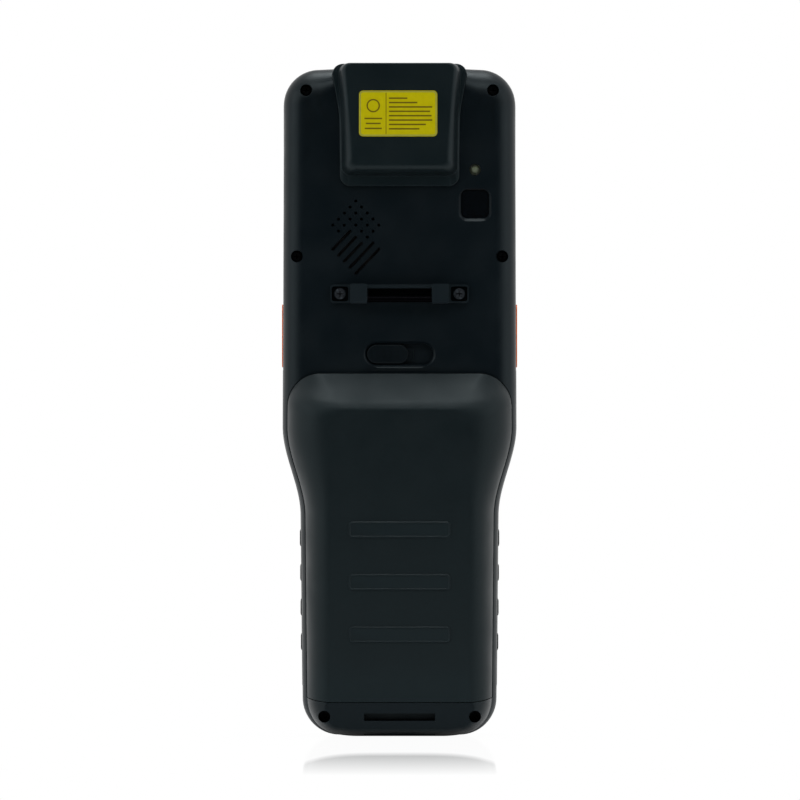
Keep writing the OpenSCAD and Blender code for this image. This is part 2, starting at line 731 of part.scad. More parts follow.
module latch_plate() {
    y0 = back_y + latch_d + 1.7;
    color([0.6, 0.6, 0.62]) {
        block(slide_x0 - 5, slide_x0 + 5, y0, y0 + 1, latch_z - 2.6, latch_z + 2.8);
        block(slide_x0 - 2.5, slide_x0 + 2.5, y0, y0 + 1, cover_top + cover_gap + 0.2, latch_z);
    }
}

// ---------- scan head ----------
// Right half of an outline inset by [side at the top, at the neck, low side, lower edge]
function scan_half(d, low_r, top_r, drop) = concat(
    [for (i = [0:4]) let (a = 90 - 22.5 * i)
        [scan_hw - d[0] - top_r + top_r * cos(a), total_len - drop - top_r + top_r * sin(a)]],
    [[scan_low_hw - d[1], scan_neck_z], [scan_low_hw - 0.1 - d[2], (scan_neck_z + scan_bot) / 2]],
    [for (i = [0:4]) let (a = -22.5 * i) [scan_low_hw - 0.15 - d[2] - low_r + low_r * cos(a),
        scan_bot + d[3] + low_r + low_r * sin(a)]]);
scan_ring = ring(scan_half([0, 0, 0, 0], scan_low_r, scan_top_r, 0));
// Ring of the slope at depth y: t 0 at its foot, 1 at the flat back
function scan_slope(t, y, drop = 0) = at_y(ring(scan_half(scan_foot_in
    + (scan_flat_in - scan_foot_in) * t,
    scan_low_r - 0.3 - 1.3 * t, scan_top_r - 0.4 - 0.9 * t, drop)), y);
module scanner_housing() {
    flange = back_y - scan_flange_t;
    color([0.13, 0.15, 0.16]) difference() {
        union() {
            loft([at_y(scan_ring, back_y), at_y(scan_ring, flange + 0.4),
                at_y(ring(scan_half([0.2, 0.2, 0.2, 0.2], scan_low_r, scan_top_r, 0)), flange),
                scan_slope(0, flange - 0.05), scan_slope(0.06, flange - 0.45),
                scan_slope(0.88, scan_y + 0.6), scan_slope(0.96, scan_y + 0.15, 0.25),
                scan_slope(1.02, scan_y, 0.8)]);
            intersection() {
                along_y(back_y - 0.5, back_y + scan_in) polygon(scan_ring);
                block(-scan_hw, scan_hw, back_y - 1, part_y, scan_neck_z, total_len);
            }
        }
        // Room for the engine, open towards the inside of the head
        block(-window_w / 2 + 0.4, window_w / 2 - 0.4, scan_y + scan_wall, back_y + scan_in - scan_wall,
            scan_neck_z - 12, total_len - 3);
        block(-window_w / 2 + 0.4, window_w / 2 - 0.4, back_y - 0.5, back_y + scan_in - scan_wall,
            scan_neck_z - 1, total_len - 3);
        block(-window_w / 2 + 1, window_w / 2 - 1, window_y0 + 0.8, window_y0 + window_d - 0.8,
            total_len - 4, total_len + 1);
        block(-window_w / 2 - 0.1, window_w / 2 + 0.1, window_y0 - 0.1, window_y0 + window_d + 0.1,
            total_len - window_t - 0.5, total_len + 1);
    }
}
window_y0 = scan_y + 2.8;
module scan_window() {
    color([0.25, 0.03, 0.04]) block(-window_w / 2, window_w / 2, window_y0, window_y0 + window_d,
        total_len - window_t - 0.45, total_len - 0.45);
}
module scan_engine() {
    y0 = scan_y + scan_wall + 0.4;
    z1 = total_len - 5;
    lens_x = [-5.5, 4];
    color([0.2, 0.22, 0.24]) difference() {
        block(-engine[0] / 2, engine[0] / 2, y0, y0 + engine[1], z1 - engine[2], z1);
        for (x = lens_x) translate([x, y0 + engine[1] / 2, z1 - 1.5])
            cylinder(h = 3, r = engine_r + 0.4);
    }
    color([0.5, 0.05, 0.05])
        for (x = lens_x) translate([x, y0 + engine[1] / 2, z1 - 2]) cylinder(h = 1.6, r = engine_r);
}
module scan_cuts() {
    intersection() {
        along_y(back_y - 1, back_y + scan_in + 0.1) polygon(inset(scan_ring, -0.1));
        block(-scan_hw - 1, scan_hw + 1, back_y - 2, part_y, scan_neck_z - 0.1, total_len + 1);
    }
    block(-window_w / 2, window_w / 2, back_y - 1, back_y + wall + 1, scan_neck_z - 12, scan_neck_z + 1);
}
module label_plate() {
    color([0.85, 0.75, 0.08]) slab(label_w, label_h, 1.2, scan_y - 0.2, scan_y, label_x,
        total_len - label_d);
}

// ---------- camera, flash and speaker ----------
// Ring of a rounded square, clockwise as seen from -Y
function square_ring(w, r, y, x, z) = [
    for (c = [0:3]) for (i = [0:2]) let (
        a = 90 - 90 * c - 45 * i,
        sx = c < 2 ? 1 : -1,
        sz = c == 0 || c == 3 ? 1 : -1)
    [x + sx * (w / 2 - r) + r * cos(a), y, z + sz * (w / 2 - r) + r * sin(a)]];
module camera_cuts() {
    loft([square_ring(cam_w + 0.4, cam_r, back_y + cam_bevel_d, cam_x, cam_z),
        square_ring(cam_bevel_w, cam_r + 0.7, back_y, cam_x, cam_z),
        square_ring(cam_bevel_w, cam_r + 0.7, back_y - 1, cam_x, cam_z)]);
    slab(cam_w + 2 * seat_gap, cam_w + 2 * seat_gap, cam_r, back_y - 1, back_y + wall + 1, cam_x, cam_z);
    rod_y(flash_r + seat_gap, back_y - 1, back_y + wall + 1, cam_x, flash_z);
}
module camera_window() {
    color([0.02, 0.02, 0.03]) slab(cam_w, cam_w, cam_r, back_y + cam_bevel_d + 0.05, back_y + wall - 0.05,
        cam_x, cam_z);
}
module camera_module() {
    y0 = back_y + wall + 0.1;
    color([0.12, 0.12, 0.13]) {
        slab(8.4, 8.4, 0.6, y0 + 0.9, y0 + 5, cam_x, cam_z);
        rod_y(3.2, y0, y0 + 2, cam_x, cam_z);
    }
}
module flash_lens() {
    color([0.8, 0.8, 0.6]) {
        rod_y(flash_r, back_y + 0.15, back_y + wall + 0.5, cam_x, flash_z);
        rod_y(flash_r + 0.6, back_y + wall + 0.1, back_y + wall + 1.2, cam_x, flash_z);
    }
}
// Slanted lattice of holes that grow into slots
function grille_at(i, j) = [speaker_x + grille_step[0] * (i - j),
    speaker_z + 6 * grille_step[1] - grille_step[1] * (i + j)];
module grille() {
    for (i = [0:4], j = [0:4]) if (i < 2 || j < 3) rod_y(grille_r, back_y - 1, back_y + wall + 0.5,
        grille_at(i, j)[0], grille_at(i, j)[1]);
    tilt = atan2(grille_step[1], grille_step[0]);
    for (i = [2:6]) let (j0 = i < 5 ? 3 : 2, a = grille_at(i, j0), b = grille_at(i, 6), c = (a + b) / 2,
        l = norm(a - b))
        translate([c[0], 0, c[1]]) rotate([0, -tilt, 0]) slab(l + 2 * grille_r, 2 * grille_r,
            grille_r - 0.01, back_y - 1, back_y + wall + 0.5);
}
module speaker_mesh() {
    color([0.03, 0.03, 0.03]) rod_y(speaker_r + 0.3, back_y + wall + 0.05, back_y + wall + 0.35,
        speaker_x, speaker_z);
}
module speaker() {
    y0 = back_y + wall + 0.4;
    color([0.3, 0.3, 0.32]) difference() {
        rod_y(speaker_r, y0, y0 + 3.6, speaker_x, speaker_z);
        rod_y(speaker_r - 1.4, y0 - 1, y0 + 0.6, speaker_x, speaker_z);
    }
}

// ---------- strap anchors ----------
pin_z = bracket_z - bracket_h / 2 + pin_r + 0.1;
pin_y = back_y - post_out + pin_r + 0.5;
// Pocket behind the pin, so that the end of a strap passes
module strap_pocket() {
    block(-strap_w / 2 + 0.3, strap_w / 2 - 0.3, back_y - 0.5, back_y + pocket_d,
        bracket_z - bracket_h / 2 + 0.3, bracket_z + bracket_h / 2 - 1.1);
}
module strap_bracket() {
    px = strap_w / 2;
    color([0.11, 0.13, 0.14]) difference() {
        union() {
            pair() {
                slab(bracket_w / 2 - px, bracket_h, 0.8, back_y - ear_t, back_y,
                    (bracket_w / 2 + px) / 2, bracket_z);
                slab(post_w, bracket_h + 0.4, 0.5, back_y - post_out, back_y, px + post_w / 2,
                    bracket_z);
            }
            block(-px - 1, px + 1, back_y - post_out + 0.6, back_y, bracket_z + bracket_h / 2 - 1,
                bracket_z + bracket_h / 2);
        }
        rod_x(pin_r + seat_gap, -px - 1.5, px + 1.5, pin_y, pin_z);
        pair() {
            rod_y(screw_r + seat_gap, back_y - 5, back_y + 1, bracket_screw_x, bracket_z);
            rod_y(screw_head_r + 0.1, back_y - 5, back_y - ear_t / 2, bracket_screw_x, bracket_z);
        }
    }
}
module strap_pin() {
    color([0.15, 0.16, 0.17]) rod_x(pin_r, -strap_w / 2 - 1.45, strap_w / 2 + 1.45, pin_y, pin_z);
}
module cross_screw(x, z, seat, len) {
    difference() {
        union() {
            rod_y(screw_head_r, seat - 1.3, seat, x, z);
            rod_y(screw_r, seat - 0.5, seat + len, x, z);
        }
        for (a = [0, 90]) translate([x, seat - 1, z]) rotate([0, a, 0])
            cube([1.7, 1.2, 0.4], center = true);
    }
}
module bracket_screws() {
    color([0.2, 0.2, 0.21]) pair() cross_screw(bracket_screw_x, bracket_z,
        back_y - ear_t / 2 + 0.65 - 0.65, wall + 2.6);
}
module housing_screws() {
    color([0.2, 0.2, 0.21]) pair() for (i = [0:2]) cross_screw(screws[i][0], screws[i][1],
        screw_seat[i], i < 2 ? part_y + 3.4 - screw_seat[i] : screw_len);
}
// Slot in the foot, turning down to the base, that leaves a bar for the strap
module strap_channel() {
    turn = foot_y + 3.1;
    block(-slot_w / 2, slot_w / 2, foot_y - 3, turn + 2.2, slot_z - slot_h / 2, slot_z + slot_h / 2);
    block(-slot_w / 2, slot_w / 2, turn, turn + 2.2, -1, slot_z);
    // Notches that the charging cradle locates on
    pair() block(7.2, 13.4, foot_y - 1, foot_y + 2, -1, 0.9);
}

// ---------- side keys, port and dock ----------
side_y = part_y - side_d;
module side_pill(w, l, x0, x1, z) {
    along_x(x0, x1) translate([side_y, z]) rrect(w, l, w / 2 - 0.4);
}
module side_cuts() {
    g = key_gap;
    x = hw(skey_z);
    pair() side_pill(skey_w + 2 * g, skey_len + 2 * g, x - wall - 1, x + 2, skey_z);
    // Room for the key's flange and for its switch, open to the inside
    pair() side_pill(skey_w + 1.2 + 2 * g, skey_len + 1.6 + 2 * g, x - wall - 6.4, x - wall, skey_z);
    // Port opening with a sunk frame for its flap
    block(-hw(port_z) - 1, -hw(port_z) + port_t + 0.3, side_y - port_w / 2 - 0.35,
        side_y + port_w / 2 + 0.15, port_z - port_len / 2 - 0.15, port_z + port_len / 2 + 0.15);
    block(-hw(port_z) - 1, -hw(port_z) + wall + 2, side_y - 1.8, side_y + 1.8, port_z - 4.6,
        port_z + 4.6);
}
module side_key() {
    x = hw(skey_z);
    side_pill(skey_w, skey_len, x - wall - 0.6, x + skey_out, skey_z);
    side_pill(skey_w + 1.2, skey_len + 1.6, x - wall - 1.1, x - wall - 0.25, skey_z);
}
module side_key_right() {
    color([0.9, 0.35, 0.08]) side_key();
}
module side_key_left() {
    color([0.9, 0.35, 0.08]) mirror([1, 0, 0]) side_key();
}
module side_switches() {
    x1 = hw(skey_z) - wall - 1.1 - skey_travel - 0.1;
    color([0.75, 0.75, 0.76]) pair() {
        block(x1 - 4.2, x1 - 0.7, side_y - 2, board_y - 0.05, skey_z - 3, skey_z + 3);
        rod_x(1.2, x1 - 1, x1, side_y, skey_z);
    }
}
port_axis = [-hw(port_z) - 0.1, side_y + port_w / 2 + 0.05];
module port_flap() {
    x = -hw(port_z);
    color([0.08, 0.08, 0.08]) {
        block(x + 0.05, x + port_t, side_y - port_w / 2, side_y + port_w / 2, port_z - port_len / 2,
            port_z + port_len / 2);
        block(x + port_t - 0.2, x + port_t + 0.9, side_y - 1.2, side_y + 1.2, port_z - 3.6, port_z + 3.6);
    }
}
module usb_socket() {
    x = -hw(port_z) + wall + 0.6;
    color([0.7, 0.7, 0.72]) difference() {
        block(x, x + 5.4, side_y - 1.7, side_y + 1.7, port_z - 4.5, port_z + 4.5);
        block(x - 1, x + 4.6, side_y - 1.3, side_y + 1.3, port_z - 4.1, port_z + 4.1);
    }
    color([0.1, 0.1, 0.1]) block(x + 1, x + 4.8, side_y - 0.35, side_y + 0.35, port_z - 3.2,
        port_z + 3.2);
    color([0.7, 0.7, 0.72]) block(x + 2, x + 5.2, side_y + 1.6, board_y - 0.05, port_z - 2, port_z + 2);
}
module dock_cuts() {
    block(-dock_w / 2 - 0.1, dock_w / 2 + 0.1, side_y - dock_d / 2 - 0.1, side_y + dock_d / 2 + 0.1, -1,
        wall + 2);
}
module dock_contacts() {
    color([0.15, 0.15, 0.16]) block(-dock_w / 2, dock_w / 2, side_y - dock_d / 2, side_y + dock_d / 2,
        0.5, wall + 1.5);
    color([0.8, 0.65, 0.2]) for (i = [-3:3]) block(i * 2.1 - 0.6, i * 2.1 + 0.6, side_y - 1.2,
        side_y + 1.2, 0.25, 0.6);
}

// ---------- front shell ----------
module front_housing() {
    color([0.10, 0.12, 0.13]) difference() {
        union() {
            difference() {
                loft(concat([at_y(casing, part_y)],
                    [for (a = [0, 30, 60, 90]) at_y(inset(casing, front_r * (1 - cos(a))),
                    face_y - front_r * (1 - sin(a)))]), true);
                along_y(part_y - 1, inner_y) polygon(inset(casing, wall));
            }
            pair() {
                for (i = [0, 1]) rod_y(boss_r, part_y + 0.1, inner_y + 0.5, screws[i][0], screws[i][1]);
                rod_y(boss_r, part_y + 0.1, inner_y + 0.5, screws[2][0], screws[2][1] + 0.9);
            }
        }
        pair() for (i = [0:2]) rod_y(screw_r + seat_gap, part_y - 1, part_y + 4, screws[i][0],
            screws[i][1]);
        slab(lens_w + 0.2, lens_h + 0.2, 3, face_y - lens_t - 0.1, face_y + 1, 0, lens_z);
        slab(view_w + 0.6, view_h + 0.6, 1, inner_y - 1, face_y, 0, view_z);
        key_holes();
        slab(14, 1.2, 0.59, inner_y - 1, face_y + 1, 0, lens_z + lens_h / 2 + 5);
        rod_y(1.05, inner_y - 1, face_y + 1, -18, lens_z + lens_h / 2 + 5);
        rubber_cuts();
    }
}
module status_light() {
    color([0.5, 0.9, 0.5]) {
        rod_y(1, inner_y - 0.2, face_y - 0.05, -18, lens_z + lens_h / 2 + 5);
        rod_y(1.6, inner_y - 1.2, inner_y - 0.1, -18, lens_z + lens_h / 2 + 5);
    }
}
module display_lens() {
    color([0.03, 0.03, 0.04]) slab(lens_w, lens_h, 2.9, face_y - lens_t, face_y, 0, lens_z);
}
module display_panel() {
    color([0.15, 0.17, 0.2]) slab(view_w + 1.2, view_h + 4, 1, inner_y - panel_t - 0.2, inner_y - 0.2,
        0, view_z - 0.5);
}

// ---------- rubber bumper and side grips ----------
function bump_path() = let (e = [head_w / 2, bumper_z]) concat([[-e[0], e[1]]],
    [for (i = [0:9]) [-casing[9 - i][0], casing[9 - i][1]]],
    [for (i = [0:9]) casing[i]], [e]);
// Open path with its outward normals, as [point, normal] pairs
function path_nrm(p) = [for (i = [0:len(p) - 1]) let (a = p[max(i - 1, 0)],
    b = p[min(i + 1, len(p) - 1)]) [p[i], [a[1] - b[1], b[0] - a[0]] / norm(b - a)]];
// Section pushed along a path; its first point sees every other point of the section
module band(path, sec) {
    q = path_nrm(path);
    n = len(sec);
    m = len(q);
    pts = [for (r = q) for (s = sec) let (v = r[0] + s[0] * r[1]) [v[0], s[1], v[1]]];
    polyhedron(pts, concat(
        [for (k = [0:m - 2]) for (j = [0:n - 1]) [k * n + j, k * n + (j + 1) % n,
            (k + 1) * n + (j + 1) % n]],
        [for (k = [0:m - 2]) for (j = [0:n - 1]) [k * n + j, (k + 1) * n + (j + 1) % n, (k + 1) * n + j]],
        [for (j = [1:n - 2]) [0, j + 1, j]],
        [for (j = [1:n - 2]) let (s = (m - 1) * n) [s, s + j, s + j + 1]]), convexity = 6);
}
// The bumper's section, from its inner corner; g grows it into the cut that it sits in
function bump_sec(g) = let (out = rubber_out + (g > 0 ? 2 : 0), up = g > 0 ? 3 : 0) [
    [-1 - g, face_y - 0.9 - g], [-1 - g, part_y + 0.2 - g], [out, part_y + 0.2 - g],
    [out, front_y - 1.2 + up], [g > 0 ? 0 : -0.25, front_y - 0.35 + up], [-0.9, front_y + up],
    [-1.9, front_y + up], [-2.5 - g, front_y - 0.7 + up], [-2.5 - g, face_y - 0.9 - g]];
function grip_path() = [for (i = [0:16]) let (z = grip_top - (grip_top - grip_bot) * i / 16)
    [hw(z), z]];
grip_y0 = part_y + 0.25;
grip_y1 = part_y + 6;
function grip_sec(g) = [[rubber_out + (g > 0 ? 2 : 0), grip_y0 - g],
    [rubber_out + (g > 0 ? 2 : 0), grip_y1 + g], [-0.9 - g, grip_y1 + g], [-0.9 - g, grip_y0 - g]];
module rubber_cuts() {
    band(bump_path(), bump_sec(seat_gap));
    pair() band(grip_path(), grip_sec(seat_gap));
}
module top_bumper() {
    color([0.07, 0.07, 0.07]) band(bump_path(), bump_sec(0));
}
module side_grip() {
    band(grip_path(), grip_sec(0));
    for (i = [0:rib_n - 1]) let (z = rib_z + i * rib_pitch)
        block(hw(z) - 0.5, hw(z) + rubber_out + rib_out, grip_y0 + 0.5, grip_y1 - 0.5, z - rib_h / 2,
            z + rib_h / 2);
}
module side_grip_right() {
    color([0.07, 0.07, 0.07]) side_grip();
}
module side_grip_left() {
    color([0.07, 0.07, 0.07]) mirror([1, 0, 0]) side_grip();
}

// ---------- boards ----------
module board(y, z0, z1, clear) {
    along_y(y, y + board_t) difference() {
        intersection() {
            polygon(inset(casing, board_in));
            translate([-head_w, z0]) square([2 * head_w, z1 - z0]);
        }
        for (s = [-1, 1]) for (i = [0:2])
            translate([s * screws[i][0], screws[i][1] + (i == 2 ? 0.9 : 0)]) circle(boss_r + clear);
    }
}
module main_board() {
    color([0.05, 0.25, 0.15]) board(board_y, waist_bot - board_ends[0], total_len - board_ends[1], 0.4);
    top = total_len - board_ends[1];
    color([0.7, 0.7, 0.72]) {
        slab(shield[0], shield[1], 1, board_y + board_t - 0.1, board_y + board_t + 2, -4,
            top - shield[1] / 2 - 8);
        slab(chip[0], chip[1], 1, board_y - 1.8, board_y + 0.1, 8, bracket_z - 3.1);
    }
}
module keypad_board() {
    color([0.05, 0.25, 0.15]) board(pad_y, board_foot, lens_bot - 3, 0.4);
    color([0.8, 0.8, 0.8]) for (k = keys) rod_y(1.9, pad_y + board_t - 0.1, pad_y + board_t + 0.35,
        k[0], k[1]);
    // Plug that joins the two boards
    color([0.2, 0.2, 0.2]) block(-9, 9, board_y + board_t, pad_y + 0.1, waist_bot - 0.5, waist_bot + 3.5);
}

// ---------- keypad ----------
num_x = [-num_pitch[0], 0, num_pitch[0]];
// Place of each key's middle and its width and height; the navigation keys are made apart
keys = concat([[0, scan_key_z], [0, nav_z]],
    [for (a = [90, 0, -90, 180]) [(nav_r + ok_r) / 2 * cos(a), nav_z + (nav_r + ok_r) / 2 * sin(a)]],
    [for (z = [fun_z[1], fun_z[0]]) for (s = [-1, 1]) [s * fun_x, z]],
    [for (r = [3, 2, 1, 0]) for (x = num_x) [x, num_z + r * num_pitch[1]]]);
flange_y = inner_y - 0.35;
mat_y = flange_y - 0.8 - 0.15 - key_travel - 1;
module key_holes() {
    g = 2 * key_gap;
    slab(scan_key[0] + g, scan_key[1] + g, 3, inner_y - 1, face_y + 1, 0, scan_key_z);
    rod_y(nav_r + key_gap, inner_y - 1, face_y + 1, 0, nav_z);
    for (i = [6:9]) slab(fun_key[0] + g, fun_key[1] + g, 1.4, inner_y - 1, face_y + 1, keys[i][0],
        keys[i][1]);
    for (i = [10:21]) slab(num_key[0] + g, num_key[1] + g, 1.6, inner_y - 1, face_y + 1, keys[i][0],
        keys[i][1]);
}
// Cap with a crowned top, a flange behind the face and a foot over its dome
module key_cap(x, z, w, h, r) {
    slab(w, h, r, flange_y - 0.4, face_y + key_out - 0.5, x, z);
    slab(w - 0.8, h - 0.8, r - 0.35, face_y + key_out - 0.6, face_y + key_out, x, z);
    slab(w + 1, h + 1, r, flange_y - 0.8, flange_y, x, z);
    rod_y(1.6, flange_y - 0.8 - 0.15, flange_y, x, z);
}
module key_scan() {
    color([0.9, 0.4, 0.08]) key_cap(0, scan_key_z, scan_key[0], scan_key[1], 2.8);
}
module key_ok() {
    color([0.75, 0.75, 0.76]) {
        rod_y(ok_r, flange_y - 0.8, face_y + key_out - 0.5, 0, nav_z);
        rod_y(ok_r - 0.5, face_y + key_out - 0.6, face_y + key_out, 0, nav_z);
        rod_y(1.6, flange_y - 0.95, flange_y, 0, nav_z);
    }
}
// One quarter of the navigation ring, turned a degrees from the right
module nav_key(a) {
    in = ok_r + nav_gap;
    translate([0, 0, nav_z]) rotate([0, -a, 0]) intersection() {
        difference() {
            union() {
                rod_y(nav_r, flange_y - 0.8, face_y + key_out - 0.6);
                rod_y(nav_r + 0.55, flange_y - 0.8, flange_y);
            }
            rod_y(in, flange_y - 2, face_y + key_out + 1);
        }
        translate([nav_gap * 0.71, 0, 0]) rotate([0, 45, 0])
            block(0, 2 * nav_r, flange_y - 2, face_y + 3, 0, 2 * nav_r);
    }
    rod_y(1.6, flange_y - 0.95, flange_y - 0.2, (nav_r + ok_r) / 2 * cos(a),
        nav_z + (nav_r + ok_r) / 2 * sin(a));
}
module key_up() {
    color([0.2, 0.2, 0.22]) nav_key(90);
}
module key_right() {
    color([0.2, 0.2, 0.22]) nav_key(0);
}
module key_down() {
    color([0.2, 0.2, 0.22]) nav_key(-90);
}
module key_left() {
    color([0.2, 0.2, 0.22]) nav_key(180);
}
module fun(i) {
    color([0.2, 0.2, 0.22]) key_cap(keys[i][0], keys[i][1], fun_key[0], fun_key[1], 1.2);
}
module num(i) {
    color([0.6, 0.62, 0.64]) key_cap(keys[i][0], keys[i][1], num_key[0], num_key[1], 1.5);
}
module keypad_mat() {
    z0 = num_z - num_key[1] / 2 - 1.5;
    z1 = nav_z + nav_r + 1.5;
    color([0.15, 0.15, 0.16]) along_y(mat_y, mat_y + 1) difference() {
        intersection() {
            polygon(inset(casing, board_in));
            translate([-head_w, z0]) square([2 * head_w, z1 - z0]);
        }
        for (s = [-1, 1]) translate([s * screws[2][0], screws[2][1] + 0.9]) circle(boss_r + 0.4);
    }
    color([0.15, 0.15, 0.16]) for (k = keys) rod_y(1.4, pad_y + board_t + 0.4, mat_y + 0.1, k[0], k[1]);
}

rear_housing();
front_housing();
housing_seal();
top_bumper();
side_grip_left();
side_grip_right();
scanner_housing();
scan_window();
scan_engine();
label_plate();
camera_window();
camera_module();
flash_lens();
speaker();
speaker_mesh();
strap_bracket();
strap_pin();
bracket_screws();
housing_screws();
battery_latch();
latch_plate();
battery_cover();
cover_gasket();
battery_pack();
battery_contacts();
main_board();
keypad_board();
keypad_mat();
display_panel();
display_lens();
side_key_left();
side_key_right();
side_switches();
port_flap();
usb_socket();
dock_contacts();
status_light();
key_scan();
key_ok();
key_up();
key_right();
key_down();
key_left();
fun(6);  // key_soft_left
fun(7);  // key_soft_right
fun(8);  // key_back
fun(9);  // key_enter
num(10);  // key_1
num(11);  // key_2
num(12);  // key_3
num(13);  // key_4
num(14);  // key_5
num(15);  // key_6
num(16);  // key_7
num(17);  // key_8
num(18);  // key_9
num(19);  // key_star
num(20);  // key_0
num(21);  // key_hash
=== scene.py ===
"""Looks of a portable barcode data terminal that stands on its foot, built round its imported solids.

X runs across the back as it is seen, +Y out of the display and keypad, +Z up to the scan head. Sizes
are in millimetres, and new_piece() turns them into the metres of the scene.
"""

import json
import logging
import math
from dataclasses import dataclass, field
from enum import Enum
from typing import Sequence

import bmesh
import bpy
import numpy as np
from mathutils import Euler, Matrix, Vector


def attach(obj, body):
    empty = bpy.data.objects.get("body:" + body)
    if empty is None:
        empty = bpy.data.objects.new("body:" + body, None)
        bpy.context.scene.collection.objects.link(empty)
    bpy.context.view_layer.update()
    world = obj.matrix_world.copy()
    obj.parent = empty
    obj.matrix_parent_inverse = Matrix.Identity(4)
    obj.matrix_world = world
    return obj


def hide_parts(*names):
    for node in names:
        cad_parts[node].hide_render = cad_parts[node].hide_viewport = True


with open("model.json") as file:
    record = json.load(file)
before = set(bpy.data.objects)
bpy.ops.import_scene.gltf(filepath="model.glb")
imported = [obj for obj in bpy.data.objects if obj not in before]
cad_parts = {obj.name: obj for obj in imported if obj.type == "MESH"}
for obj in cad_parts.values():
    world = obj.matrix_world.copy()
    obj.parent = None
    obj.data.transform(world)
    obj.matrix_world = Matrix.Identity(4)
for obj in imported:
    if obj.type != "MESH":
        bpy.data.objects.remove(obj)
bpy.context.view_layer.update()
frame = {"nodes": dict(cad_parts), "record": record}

LOG = logging.getLogger("terminal")
MM = 0.001
FIXED = "terminal"
Colour = tuple[float, float, float]
Piece = bpy.types.Object
Socket = bpy.types.NodeSocket
BLOCK_FACES = ((0, 1, 3, 2), (4, 6, 7, 5), (0, 4, 5, 1), (2, 3, 7, 6), (0, 2, 6, 4), (1, 5, 7, 3))


class Carve(Enum):
    """What carve() does with its tools."""

    CUT = "DIFFERENCE"
    ADD = "UNION"
    KEEP = "INTERSECT"


class Side(Enum):
    """The two flanks of the casing, as its back is seen."""

    LEFT = -1
    RIGHT = 1


# ---------------------------------------------------------------- outlines


def smooth(t: np.ndarray) -> np.ndarray:
    """Ease from 0 to 1 with level ends."""
    return t * t * (3 - 2 * t)


def outward(along: np.ndarray) -> np.ndarray:
    """Unit normals to the left of directions in the XZ plane."""
    return np.stack([-along[:, 1], along[:, 0]], 1) / np.linalg.norm(along, axis=1, keepdims=True)


def arc(x: float, z: float, radius: float, start: float, end: float, steps: int) -> np.ndarray:
    """Points of an arc about a middle, with its angles in degrees from the X axis."""
    turn = np.radians(np.linspace(start, end, steps + 1))
    return np.stack([x + radius * np.cos(turn), z + radius * np.sin(turn)], 1)


@dataclass(frozen=True)
class Outline:
    """Closed outline in the XZ plane, clockwise as seen from the back."""

    points: np.ndarray

    @classmethod
    def mirrored(cls, half: Sequence[Sequence[float]]) -> "Outline":
        """Outline from its right half, which runs from the top centre down."""
        right = np.asarray(half, float)
        return cls(np.vstack([right, right[::-1] * (-1, 1)]))

    @classmethod
    def rounded(
        cls, width: float, height: float, radius: float, x: float = 0, z: float = 0, steps: int = 6
    ) -> "Outline":
        """Rounded rectangle about a point.

        Args:
            width: Size along X.
            height: Size along Z.
            radius: Corner radius.
            x: Middle, along X.
            z: Middle, along Z.
            steps: Segments in each corner.

        Returns:
            The outline, clockwise from the upper right corner's start.
        """
        corners = [
            arc(x + sx * (width / 2 - radius), z + sz * (height / 2 - radius), radius, turn, turn - 90, steps)
            for sx, sz, turn in ((1, 1, 90), (1, -1, 0), (-1, -1, -90), (-1, 1, -180))
        ]
        return cls(np.vstack(corners))

    def normals(self) -> np.ndarray:
        """Outward unit normal at each point."""
        return outward(np.roll(self.points, -1, axis=0) - np.roll(self.points, 1, axis=0))

    def inset(self, depth: float | np.ndarray) -> "Outline":
        """The outline moved inwards by one depth, or by one for each point."""
        return Outline(self.points - np.reshape(depth, (-1, 1)) * self.normals())

    def ring(self, y: float | np.ndarray) -> np.ndarray:
        """The outline's points in space, at one depth or at one for each point."""
        return np.stack([self.points[:, 0], np.broadcast_to(y, len(self.points)), self.points[:, 1]], 1)

    def sideways(self, x: float) -> np.ndarray:
        """The outline's points in space, turned into the YZ plane at one X."""
        return self.ring(x)[:, (1, 0, 2)]

    def clipped(self, low: float, high: float) -> "Outline":
        """The part of the outline's area between two heights.

        Args:
            low: Lower height.
            high: Upper height.

        Returns:
            The clipped outline.
        """
        kept = self.points
        for sign, level in ((1, low), (-1, high)):
            made = []
            for here, after in zip(kept, np.roll(kept, -1, axis=0)):
                inside, next_inside = sign * (here[1] - level) >= 0, sign * (after[1] - level) >= 0
                if inside:
                    made.append(here)
                if inside != next_inside:
                    made.append(here + (after - here) * (level - here[1]) / (after[1] - here[1]))
            kept = np.array(made)
        return Outline(kept)


def eased_corners(points: Sequence[Sequence[float]], reach: float, steps: int = 4) -> np.ndarray:
    """Blend the inner corners of an open line into short curves.

    Args:
        points: The line's points.
        reach: Length of each blend along its neighbours, in the line's units.
        steps: Segments in each blend.

    Returns:
        The points of the eased line.
    """
    line = np.asarray(points, float)
    made = [line[0]]
    for before, here, after in zip(line, line[1:], line[2:]):
        back, ahead = before - here, after - here
        start = here + back * min(0.49, reach / np.linalg.norm(back))
        end = here + ahead * min(0.49, reach / np.linalg.norm(ahead))
        for t in np.linspace(0, 1, steps + 1):
            made.append((1 - t) ** 2 * start + 2 * t * (1 - t) * here + t * t * end)
    return np.array(made + [line[-1]])


# ---------------------------------------------------------------- mesh work


